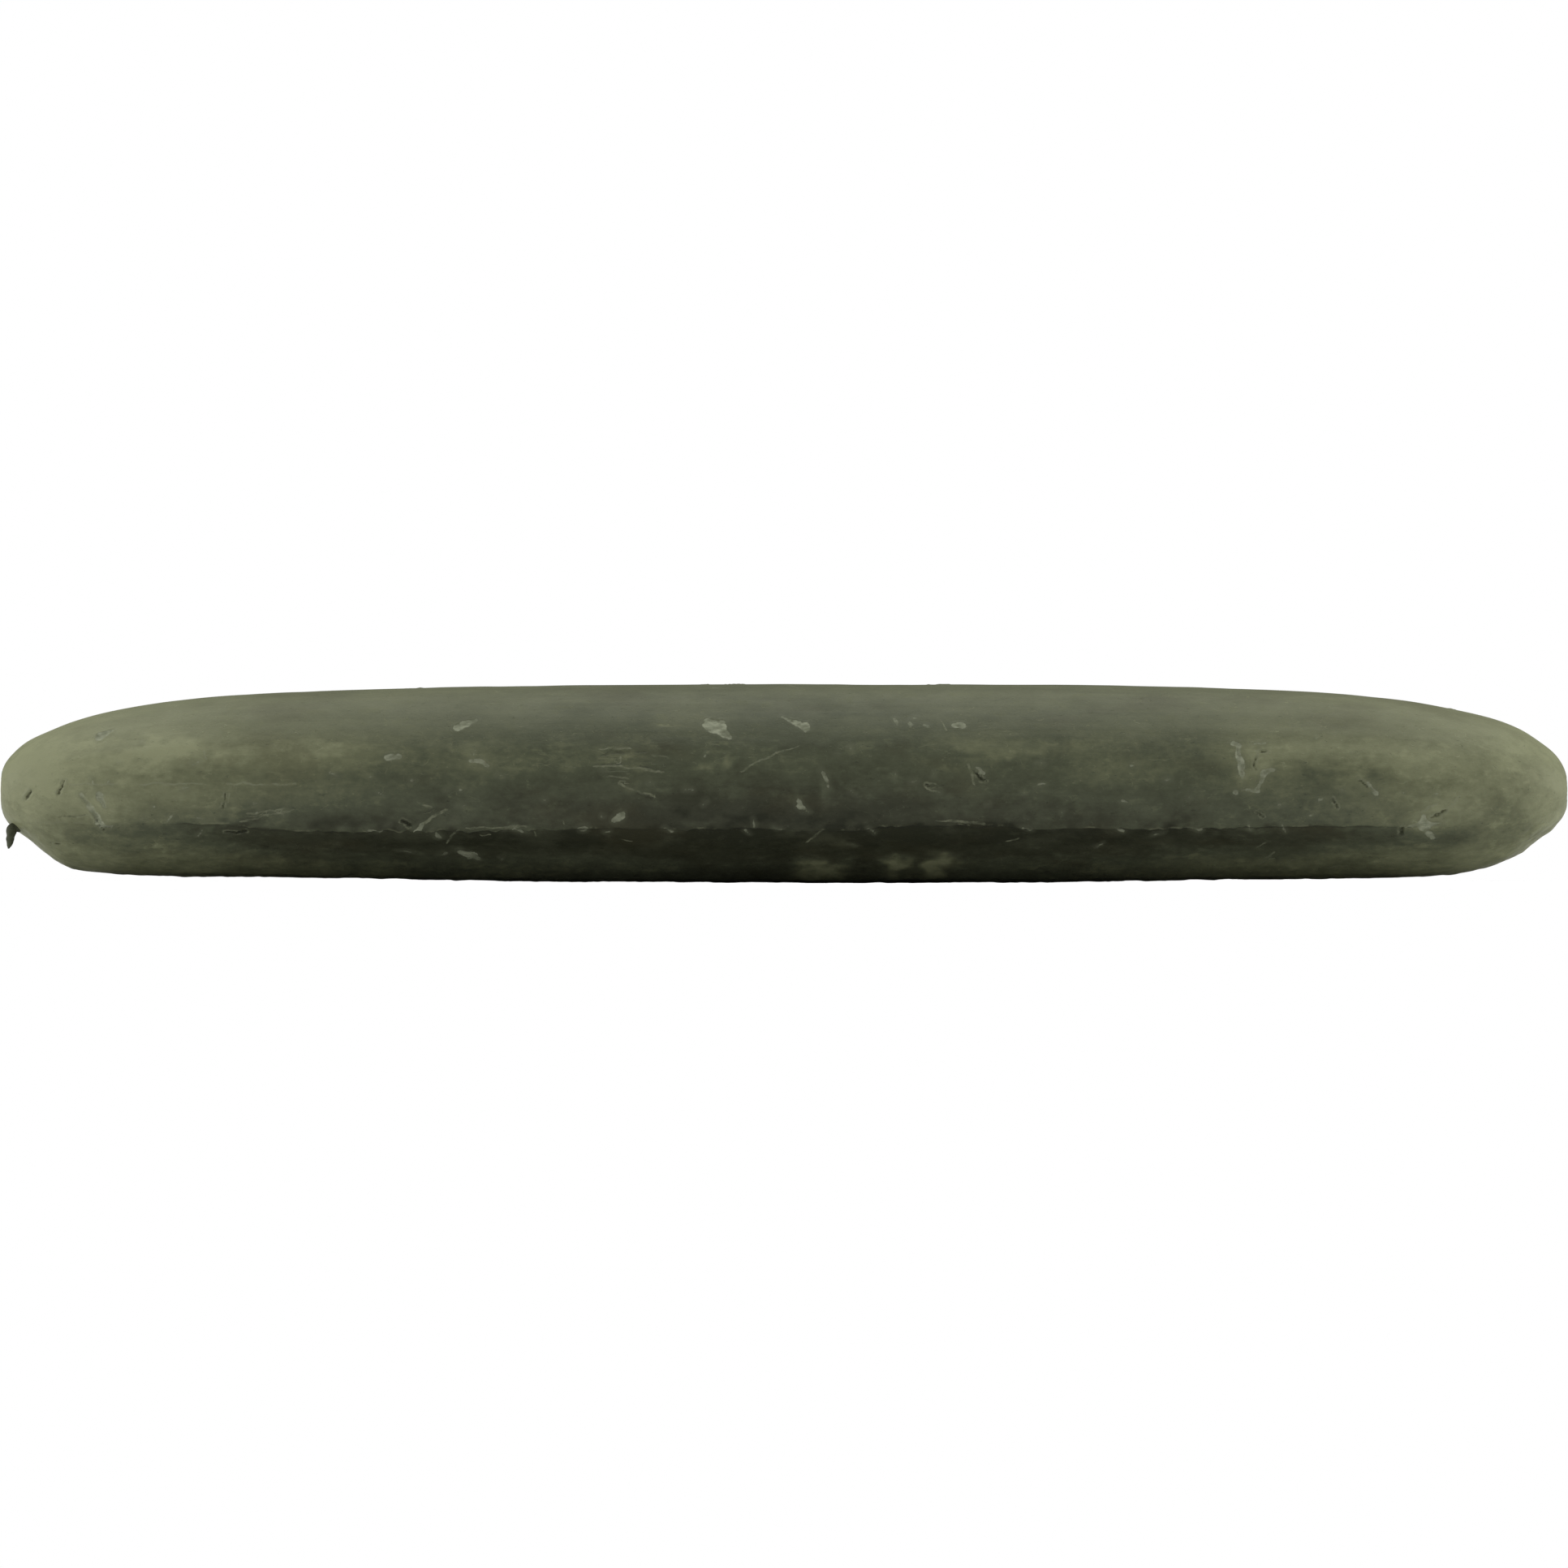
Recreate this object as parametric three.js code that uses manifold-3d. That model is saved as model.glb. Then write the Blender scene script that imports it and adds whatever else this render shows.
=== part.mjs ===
// A blending stump: a stick of tightly rolled, pasted paper with two worn, rounded noses.
//
// Strips of stiff paper are wound one after another round a pinhole. The filling (a starter roll, an
// inner strip and a middle strip) is shaped to a slight barrel with a bullet nose at each end. One
// outer sheet goes once round it, is pressed down over both noses, and ends in a pasted free edge
// along the front. Underneath is a small worn flat on which the stump rests without rolling.
//
// Millimetres, +Z up, X along the stick, and the free edge on the -Y side. The origin is the middle
// of the bottom of the bounding box.

import * as THREE from 'three';
import { mergeVertices } from 'three/addons/utils/BufferGeometryUtils.js';
import Module from 'manifold-3d';

const wasm = await Module();
wasm.setup();

// ---- Driving dimensions -------------------------------------------------------------------------

const LENGTH = 127;
const MID_RADIUS = 8.15; // mean radius at mid-length
const BARREL_DROP = 1.2; // how much slimmer the barrel's curve is at the very ends
const NOSE_LENGTH = 15; // the part of each end that is rounded off
const NOSE_TAPER = 2.1; // exponents of the nose's superellipse
const NOSE_BLUNTNESS = 2.3;
const NOSE_SAG = 0.75; // how far the worn noses hang below the roll's axis
const SAG_REACH = 29; // length over which they bend down, from each end

const PAPER = 0.5; // thickness of every strip
const GAP = 0.1; // clearance between two turns
const PITCH = PAPER + GAP;
const PINHOLE_RADIUS = 0.25; // the hole that the first turn is rolled round
const STARTER_RADIUS = 2.05; // where the starter roll ends and the inner strip starts
const INNER_RADIUS = 4.45; // where the inner strip ends and the middle strip starts
const BUTT_GAP = 0.3; // clearance between the end of one strip and the start of the next

const EDGE_ANGLE = THREE.MathUtils.degToRad(-26); // free edge, from the front (-Y) towards the top
const NOSE_EDGE_ANGLE = THREE.MathUtils.degToRad(-60); // the same edge where it meets the nose tip
const EDGE_BEND_REACH = 5; // length at each end over which the edge swings to that angle
const PRESS_HALF_ANGLE = THREE.MathUtils.degToRad(25); // the flat pressed below the free edge
const PRESS_DEPTH = 0.45;

const PASTE = 0.12; // thickness of a dried paste band
const PASTE_GAP = 0.08; // clearance on each side of it
const RECESS = PASTE + 2 * PASTE_GAP - GAP; // how far a strip gives way over a paste band
const PASTE_WIDTH = 4; // of the bands under the butt joints
const PASTE_LENGTH = 100;

const REST_FLAT_DEPTH = 0.22;

// Distances from the end at which the sheet's cross-sections stand.
const STATIONS = [0.25, 0.8, 1.8, 3.4, 5.8, 9.5, 15, 23, 36, LENGTH / 2];
const TIP = [[0, 1.1], [0.3, 1.4]]; // distance from the end and radius of the filling's bare tip

const SEGMENTS = 28; // facets in one outer turn
const OVERLAP_SEGMENTS = 3; // facets by which the outer sheet laps over its own start
const STARTER_SEGMENTS = 14;
const INNER_SEGMENTS = 20;

// ---- Shape of the finished stick ----------------------------------------------------------------

const TURN = 2 * Math.PI;
const HALF = LENGTH / 2;
const OVERLAP = OVERLAP_SEGMENTS / SEGMENTS;
const PRESS_ANGLE = EDGE_ANGLE - PRESS_HALF_ANGLE;

// The spiral stands highest at the free edge and falls by one pitch in each turn back from it. At
// this turn, midway between the top and the bottom of the stick, it is at the mean radius.
const MEAN_TURN = (0.5 * Math.PI - EDGE_ANGLE) / TURN + 0.25;

function fromEnd(x) {
  return HALF - Math.abs(x);
}

// Mean outer radius of the stick at x.
function profile(x) {
  const d = Math.max(fromEnd(x), 0);
  const barrel = MID_RADIUS - BARREL_DROP * (1 - d / HALF) ** 2;
  const nose = 1 - Math.min(d / NOSE_LENGTH, 1);
  return barrel * (1 - nose ** NOSE_TAPER) ** (1 / NOSE_BLUNTNESS);
}

// How far the middle of the cross-section lies below the roll's axis at x.
function sag(x) {
  const bend = Math.max(1 - fromEnd(x) / SAG_REACH, 0);
  return NOSE_SAG * Math.min(1.6 * bend * bend, 1);
}

// Angle of the free edge at x: it runs straight, so it swings down where the nose closes in.
function edgeAngle(x) {
  const swing = Math.max(1 - fromEnd(x) / EDGE_BEND_REACH, 0);
  return EDGE_ANGLE + (NOSE_EDGE_ANGLE - EDGE_ANGLE) * swing * swing;
}

// Depth of the flat below the free edge, at an angle from the front.
function pressed(angle) {
  const off = Math.atan2(Math.sin(angle - PRESS_ANGLE), Math.cos(angle - PRESS_ANGLE));
  if (Math.abs(off) >= PRESS_HALF_ANGLE) {
    return 0;
  }
  const full = 1 - Math.cos(PRESS_HALF_ANGLE);
  return PRESS_DEPTH * (1 - Math.cos(PRESS_HALF_ANGLE) / Math.cos(off)) / full;
}

// Height of the outer sheet's outer face above the mean radius, a number of turns back from the edge.
function rise(turn) {
  return PITCH * (MEAN_TURN - turn);
}

// A point a number of turns back from the free edge, at a height above the stick's mean surface.
function skinPoint(x, turn, height) {
  const h = 0.05;
  const slope = (profile(x + h) - profile(x - h)) / (2 * h);
  const steep = Math.hypot(1, slope);
  const angle = edgeAngle(x) + turn * TURN;
  const dent = pressed(angle) * (profile(x) / MID_RADIUS) ** 2;
  const radius = profile(x) + (height - dent) / steep;
  const along = x - (height - dent) * slope / steep;
  return new THREE.Vector3(along, -radius * Math.cos(angle), radius * Math.sin(angle) - sag(x));
}

// ---- Solids -------------------------------------------------------------------------------------

function indexed(points, triangles) {
  const geometry = new THREE.BufferGeometry();
  geometry.setAttribute('position', new THREE.Float32BufferAttribute(points.flatMap((p) => p.toArray()), 3));
  geometry.setIndex(triangles.flat());
  return geometry;
}

function signedVolume(geometry) {
  const position = geometry.getAttribute('position');
  const index = geometry.getIndex();
  const corners = [new THREE.Vector3(), new THREE.Vector3(), new THREE.Vector3()];
  let total = 0;
  for (let i = 0; i < index.count; i += 3) {
    corners.forEach((corner, k) => corner.fromBufferAttribute(position, index.getX(i + k)));
    total += corners[0].dot(corners[1].clone().cross(corners[2])) / 6;
  }
  return total;
}

function toSolid(geometry) {
  const bare = geometry.clone();
  bare.deleteAttribute('normal');
  bare.deleteAttribute('uv');
  const merged = mergeVertices(bare, 1e-4);
  const triVerts = new Uint32Array(merged.getIndex().array);
  if (signedVolume(merged) < 0) {
    for (let i = 0; i < triVerts.length; i += 3) {
      [triVerts[i], triVerts[i + 1]] = [triVerts[i + 1], triVerts[i]];
    }
  }
  const vertProperties = new Float32Array(merged.getAttribute('position').array);
  return new wasm.Manifold(new wasm.Mesh({ numProp: 3, vertProperties, triVerts }));
}

function toGeometry(solid) {
  const mesh = solid.getMesh();
  const geometry = new THREE.BufferGeometry();
  geometry.setAttribute('position', new THREE.Float32BufferAttribute(mesh.vertProperties, 3));
  geometry.setIndex(new THREE.Uint32BufferAttribute(mesh.triVerts, 1));
  geometry.computeVertexNormals();
  return geometry;
}

// A curved plate: point(row, column, face) gives its grid of corners, with face 0 and 1 its sides.
function plate(rows, columns, point) {
  const points = [];
  for (const face of [0, 1]) {
    for (let r = 0; r < rows; r += 1) {
      for (let c = 0; c < columns; c += 1) {
        points.push(point(r, c, face));
      }
    }
  }
  const at = (r, c, face) => (face * rows + r) * columns + c;
  const triangles = [];
  const quad = (a, b, c, d) => triangles.push([a, b, c], [a, c, d]);
  for (let r = 0; r + 1 < rows; r += 1) {
    for (let c = 0; c + 1 < columns; c += 1) {
      quad(at(r, c, 0), at(r + 1, c, 0), at(r + 1, c + 1, 0), at(r, c + 1, 0));
      quad(at(r, c, 1), at(r, c + 1, 1), at(r + 1, c + 1, 1), at(r + 1, c, 1));
    }
    quad(at(r, 0, 0), at(r, 0, 1), at(r + 1, 0, 1), at(r + 1, 0, 0));
    quad(at(r, columns - 1, 0), at(r + 1, columns - 1, 0), at(r + 1, columns - 1, 1), at(r, columns - 1, 1));
  }
  for (let c = 0; c + 1 < columns; c += 1) {
    quad(at(0, c, 0), at(0, c + 1, 0), at(0, c + 1, 1), at(0, c, 1));
    quad(at(rows - 1, c, 0), at(rows - 1, c, 1), at(rows - 1, c + 1, 1), at(rows - 1, c + 1, 0));
  }
  return toSolid(indexed(points, triangles));
}

// A solid through a row of rings of equal count, closed by a fan on a centre point at each end.
function loft(rings, firstCentre, lastCentre) {
  const count = rings[0].length;
  const points = rings.flat();
  const first = points.push(firstCentre) - 1;
  const last = points.push(lastCentre) - 1;
  const triangles = [];
  const base = (rings.length - 1) * count;
  for (let c = 0; c < count; c += 1) {
    const next = (c + 1) % count;
    for (let r = 0; r + 1 < rings.length; r += 1) {
      const [a, b] = [r * count, (r + 1) * count];
      triangles.push([a + c, b + c, b + next], [a + c, b + next, a + next]);
    }
    triangles.push([first, c, next], [last, base + next, base + c]);
  }
  return toSolid(indexed(points, triangles));
}

// An outline in the cross-section, drawn out along X over a length, with its middle at x = 0.
function drawnOut(outline, length) {
  const shape = new THREE.Shape(outline);
  const geometry = new THREE.ExtrudeGeometry(shape, { depth: length, bevelEnabled: false });
  geometry.translate(0, 0, -length / 2);
  const [y, z, x] = [new THREE.Vector3(0, 1, 0), new THREE.Vector3(0, 0, 1), new THREE.Vector3(1, 0, 0)];
  geometry.applyMatrix4(new THREE.Matrix4().makeBasis(y, z, x));
  return toSolid(geometry);
}

// ---- The outer sheet's way round the filling ----------------------------------------------------

const stationX = [
  ...STATIONS.map((d) => d - HALF),
  ...STATIONS.slice(0, -1).reverse().map((d) => HALF - d),
];
const HEAD_TURN = 1 + OVERLAP; // where the outer sheet starts, counted back from its free edge

function turnsBetween(from, to) {
  const turns = [from];
  for (let i = Math.floor(from * SEGMENTS) + 1; i < to * SEGMENTS - 1e-6; i += 1) {
    turns.push(i / SEGMENTS);
  }
  turns.push(to);
  return turns;
}

// The filling's outer face, with a shallow groove for the paste under the sheet's first edge.
function fillingRing(place) {
  const grooveTurn = HEAD_TURN - 2 / SEGMENTS;
  const body = turnsBetween(OVERLAP, grooveTurn).map((turn) => [turn, rise(turn) - PITCH]);
  const groove = turnsBetween(grooveTurn, HEAD_TURN).map((turn) => [turn, rise(turn) - PITCH - RECESS]);
  return [...body, ...groove].map(([turn, height]) => place(turn, height));
}

function fillingEnvelope() {
  const tipRing = (side) => ([d, radius]) => fillingRing((turn) => {
    const x = side * (HALF - d);
    const angle = edgeAngle(x) + turn * TURN;
    const r = radius * (1 - 0.02 * turn);
    return new THREE.Vector3(x, -r * Math.cos(angle), r * Math.sin(angle) - sag(x));
  });
  const rings = [
    ...TIP.map(tipRing(-1)),
    ...stationX.map((x) => fillingRing((turn, height) => skinPoint(x, turn, height))),
    ...[...TIP].reverse().map(tipRing(1)),
  ];
  const centre = (side) => new THREE.Vector3(side * HALF, 0, -sag(HALF));
  return loft(rings, centre(-1), centre(1));
}

const envelope = fillingEnvelope();

// ---- The filling's strips -----------------------------------------------------------------------

// The spiral of the filling is counted in turns from its centre. It ends against the start of the
// outer sheet, a little proud of the envelope that trims it.
const TRIM = 0.1;
const END_FACE = MID_RADIUS + rise(OVERLAP) - PITCH + TRIM - PAPER; // its inner face at the end
const END_TURN = (END_FACE - PINHOLE_RADIUS) / PITCH;
const END_ANGLE = EDGE_ANGLE + OVERLAP * TURN;

function spiralRadius(turn) {
  return PINHOLE_RADIUS + PITCH * turn;
}

function spiralTurn(radius) {
  return (radius - PINHOLE_RADIUS) / PITCH;
}

// A point of the cross-section, a height above the strip's inner face at a turn of the spiral.
function sectionPoint(turn, height) {
  const angle = END_ANGLE + (END_TURN - turn) * TURN;
  const free = spiralRadius(turn) + height;
  const radius = free - pressed(angle) * (free / MID_RADIUS) ** 2;
  return new THREE.Vector2(-radius * Math.cos(angle), radius * Math.sin(angle));
}

function spiralSteps(from, to, segments) {
  const steps = [from];
  const offset = END_TURN * segments;
  const firstStep = Math.ceil(offset - to * segments + 1e-6);
  const lastStep = Math.floor(offset - from * segments - 1e-6);
  for (let i = lastStep; i >= firstStep; i -= 1) {
    steps.push(END_TURN - i / segments);
  }
  steps.push(to);
  return steps;
}

// Turns taken up by a distance along the strip at a turn of the spiral.
function turnsFor(distance, turn) {
  return distance / (TURN * spiralRadius(turn));
}

// A strip from one turn to another, its inner face raised over a paste band where it is pasted.
function strip(from, to, segments, pastedStart, pastedEnd) {
  const start = pastedStart ? from + turnsFor(BUTT_GAP / 2, from) : from;
  const end = to - turnsFor(BUTT_GAP / 2, to);
  const startLip = pastedStart ? from + turnsFor(PASTE_WIDTH / 2 + PASTE_GAP, from) : start;
  const endLip = pastedEnd ? to - turnsFor(PASTE_WIDTH / 2 + PASTE_GAP, to) : end;
  const outer = spiralSteps(start, end, segments).map((turn) => sectionPoint(turn, PAPER));
  const inner = spiralSteps(startLip, endLip, segments).map((turn) => sectionPoint(turn, 0));
  const startRecess = spiralSteps(start, startLip, segments).map((turn) => sectionPoint(turn, RECESS));
  const endRecess = spiralSteps(endLip, end, segments).map((turn) => sectionPoint(turn, RECESS));
  const under = [...(pastedStart ? startRecess : []), ...inner, ...(pastedEnd ? endRecess : [])];
  return drawnOut([...outer, ...under.reverse()], LENGTH + 2).intersect(envelope);
}

// A band of dried paste centred under the butt joint at a turn of the spiral.
function splicePaste(turn) {
  const half = turnsFor(PASTE_WIDTH / 2, turn);
  const steps = spiralSteps(turn - half, turn + half, SEGMENTS);
  const top = steps.map((step) => sectionPoint(step, PASTE_GAP - GAP + PASTE));
  const bottom = steps.map((step) => sectionPoint(step, PASTE_GAP - GAP));
  return drawnOut([...top, ...bottom.reverse()], PASTE_LENGTH);
}

// ---- The outer sheet and its paste --------------------------------------------------------------

// Small torn shred at the left nose, in the plane of X and Z: its outline from the sheet's corner.
const SHRED_ROOT = [-61.4, -3.15];
const SHRED_THICKNESS = 0.4;

function tornShred() {
  const shape = new THREE.Shape();
  const [x, z] = SHRED_ROOT;
  shape.moveTo(x, z + 0.35);
  shape.quadraticCurveTo(x - 1.5, z + 0.1, x - 1.35, z - 1.75);
  shape.lineTo(x - 0.95, z - 1.8);
  shape.quadraticCurveTo(x - 0.9, z - 0.55, x + 0.1, z - 0.3);
  const geometry = new THREE.ExtrudeGeometry(shape, {
    depth: SHRED_THICKNESS,
    bevelEnabled: false,
    curveSegments: 4,
  });
  geometry.rotateX(Math.PI / 2);
  const root = skinPoint(x, 0, rise(0));
  geometry.translate(0, root.y + 1.2 * SHRED_THICKNESS, 0);
  return toSolid(geometry);
}

function outerSheet() {
  const pocket = 2 / SEGMENTS; // turns over which the sheet is thinned for the paste at its free edge
  const start = HEAD_TURN - BUTT_GAP / (TURN * MID_RADIUS);
  const thinned = turnsBetween(0, pocket).map((turn) => [turn, RECESS]);
  const full = turnsBetween(pocket, start).map((turn) => [turn, 0]);
  const columns = [...thinned, ...full];
  const sheet = plate(stationX.length, columns.length, (r, c, face) => {
    const [turn, raised] = columns[c];
    return skinPoint(stationX[r], turn, rise(turn) - face * (PAPER - raised));
  });
  return sheet.add(tornShred()).subtract(belowRestFlat());
}

function belowRestFlat() {
  const bottomTurn = MEAN_TURN + 0.25;
  const lowest = MID_RADIUS + rise(bottomTurn);
  const block = new THREE.BoxGeometry(LENGTH, 2 * MID_RADIUS, MID_RADIUS);
  block.translate(0, 0, REST_FLAT_DEPTH - lowest - MID_RADIUS / 2);
  return toSolid(block);
}

// A paste band on the stick between two turns, a height above the stick's mean surface.
function sheetPaste(from, to, height) {
  const turns = turnsBetween(from, to);
  const xs = stationX.filter((x) => Math.abs(x) < PASTE_LENGTH / 2);
  return plate(xs.length, turns.length, (r, c, face) => (
    skinPoint(xs[r], turns[c], height(turns[c]) + (1 - face) * PASTE)
  ));
}

function lapPaste() {
  const setBack = 0.6 / SEGMENTS;
  const margin = 0.2 / SEGMENTS;
  return sheetPaste(setBack, 2 / SEGMENTS - margin, (turn) => rise(turn + 1) + PASTE_GAP);
}

function headPaste() {
  const margin = 0.25 / SEGMENTS;
  const height = (turn) => rise(turn) - PAPER - PASTE_GAP - PASTE;
  return sheetPaste(HEAD_TURN - 2 / SEGMENTS + margin, HEAD_TURN - margin, height);
}

// ---- Assembly -----------------------------------------------------------------------------------

function material(color, roughness) {
  return new THREE.MeshStandardMaterial({ color, roughness, metalness: 0 });
}

function piece(name, solid, look) {
  const mesh = new THREE.Mesh(toGeometry(solid), look);
  mesh.name = name;
  return mesh;
}

const skin = material(0x4d5443, 0.55);
const board = material(0x8a8b78, 0.85);
const glue = material(0xb7ab86, 0.45);

const starterTurn = spiralTurn(STARTER_RADIUS);
const innerTurn = spiralTurn(INNER_RADIUS);

const stump = new THREE.Group();
stump.add(
  piece('starter_roll', strip(0, starterTurn, STARTER_SEGMENTS, false, true), board.clone()),
  piece('starter_splice_paste', splicePaste(starterTurn), glue.clone()),
  piece('inner_strip', strip(starterTurn, innerTurn, INNER_SEGMENTS, true, true), board.clone()),
  piece('inner_splice_paste', splicePaste(innerTurn), glue.clone()),
  piece('middle_strip', strip(innerTurn, END_TURN, SEGMENTS, true, false), board.clone()),
  piece('outer_head_paste', headPaste(), glue.clone()),
  piece('outer_sheet', outerSheet(), skin),
  piece('lap_paste', lapPaste(), glue),
);

const box = new THREE.Box3().setFromObject(stump);
const middle = box.getCenter(new THREE.Vector3());
stump.position.set(-middle.x, -middle.y, -box.min.z);

export default stump;
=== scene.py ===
"""Looks of the blending stump: the burnished outer sheet with its torn corner, and the roll's worn ends."""
import math

import bpy
import numpy as np
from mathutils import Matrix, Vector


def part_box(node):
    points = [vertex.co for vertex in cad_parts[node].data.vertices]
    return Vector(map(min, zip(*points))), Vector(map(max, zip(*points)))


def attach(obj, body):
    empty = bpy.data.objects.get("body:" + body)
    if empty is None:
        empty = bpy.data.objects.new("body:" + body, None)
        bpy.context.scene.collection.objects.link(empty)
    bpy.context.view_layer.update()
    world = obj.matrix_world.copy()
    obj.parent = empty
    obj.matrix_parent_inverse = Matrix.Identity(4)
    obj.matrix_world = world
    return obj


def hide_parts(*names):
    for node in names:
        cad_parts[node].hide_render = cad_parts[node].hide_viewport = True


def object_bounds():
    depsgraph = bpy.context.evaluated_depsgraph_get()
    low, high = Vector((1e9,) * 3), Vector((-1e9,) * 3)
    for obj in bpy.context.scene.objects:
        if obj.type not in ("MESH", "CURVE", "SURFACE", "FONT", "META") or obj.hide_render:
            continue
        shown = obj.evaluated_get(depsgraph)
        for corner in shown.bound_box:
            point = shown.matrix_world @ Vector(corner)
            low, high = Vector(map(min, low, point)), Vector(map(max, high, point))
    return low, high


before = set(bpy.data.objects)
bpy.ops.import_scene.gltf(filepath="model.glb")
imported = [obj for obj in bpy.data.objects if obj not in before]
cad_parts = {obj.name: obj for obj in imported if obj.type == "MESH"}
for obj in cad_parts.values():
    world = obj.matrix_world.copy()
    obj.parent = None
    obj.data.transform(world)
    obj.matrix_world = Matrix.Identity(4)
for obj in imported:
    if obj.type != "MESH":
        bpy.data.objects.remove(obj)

cad_low, cad_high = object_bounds()

MM = 0.001
BODY = "root"

# ---- The stick's sizes, in millimetres ------------------------------------------------------------

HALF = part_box("starter_roll")[1].x / MM  # the roll's own tips are the ends of the stick
AXIS_HEIGHT = cad_high.z / MM / 2  # of the stick's axis above the surface that it lies on
SHEET = 0.36  # thickness of the outer sheet, and of one turn of the roll inside it
STEP = 0.42  # how much lower the turn below the free edge lies
OVERLAP = 0.05  # turns by which the sheet laps over its own start
SINK = 0.12 * STEP  # set down by this, because a spiral stands out on top and is drawn in underneath
MEAN_TURN = 0.57  # turns back from the free edge where the spiral is at its mean radius
ARC_RADIUS = 8  # turns an angle round the stick into a rough length over its skin
EYE_RADIUS = 1.5  # of the roll's own end, seen inside the sheet at each nose tip

# Outline seen from the front: distance from the end, then heights of the top and the bottom edge
# above the axis at the left and at the right end.
OUTLINE = (
    # distance, left top, left bottom, right top, right bottom
    (0.00, -0.55, -0.55, -0.60, -0.60),
    (0.10, 0.85, -2.05, 0.75, -2.00),
    (0.35, 1.60, -2.75, 1.48, -2.65),
    (1.00, 2.45, -3.50, 2.45, -3.38),
    (2.20, 3.45, -4.40, 3.45, -4.40),
    (4.00, 4.30, -5.88, 4.58, -5.70),
    (6.00, 5.08, -6.90, 5.34, -6.60),
    (9.00, 5.87, -7.34, 6.03, -7.32),
    (14.0, 6.66, -7.58, 6.86, -7.65),
    (20.0, 7.19, -7.64, 7.36, -7.70),
    (28.0, 7.52, -7.68, 7.67, -7.76),
    (40.0, 7.84, -7.90, 7.95, -7.94),
    (HALF, 8.04, -8.12, 8.04, -8.12),
)

# Distance from the end, height of the section's widest place above the axis, and its half depth.
SECTION = (
    (0.00, -0.55, 0.00),
    (0.10, -0.56, 1.45),
    (0.35, -0.58, 2.15),
    (1.00, -0.60, 3.00),
    (2.20, -0.64, 3.95),
    (4.00, -0.70, 4.98),
    (6.00, -0.70, 5.80),
    (9.00, -0.62, 6.58),
    (14.0, -0.42, 7.12),
    (20.0, -0.22, 7.42),
    (28.0, -0.06, 7.62),
    (40.0, 0.00, 7.87),
    (HALF, 0.00, 8.04),
)

# Height of the sheet's free edge on the front above the axis, from the left end to the right end.
EDGE = (
    (-63.5, -3.1), (-56, -3.2), (-46, -3.2), (-38, -3.75), (-28, -3.8), (-20, -3.55), (-8, -3.6),
    (4, -3.65), (13, -3.35), (22, -3.6), (34, -3.55), (44, -3.4), (54, -3.35), (63.5, -3.1),
)

PRESS_WIDTH = math.radians(50)  # of the flat that is pressed below the free edge
PRESS_DEPTH = 0.62

ROWS = 801
COLUMNS = 241
COARSE = 4  # rows and columns of the sheet's outer face for each one of its inner face

# ---- Wear on the front, with painted light and shade, in millimetres ------------------------------
# Each mark runs from one place to another: x, height above the axis and half width, twice.

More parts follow.
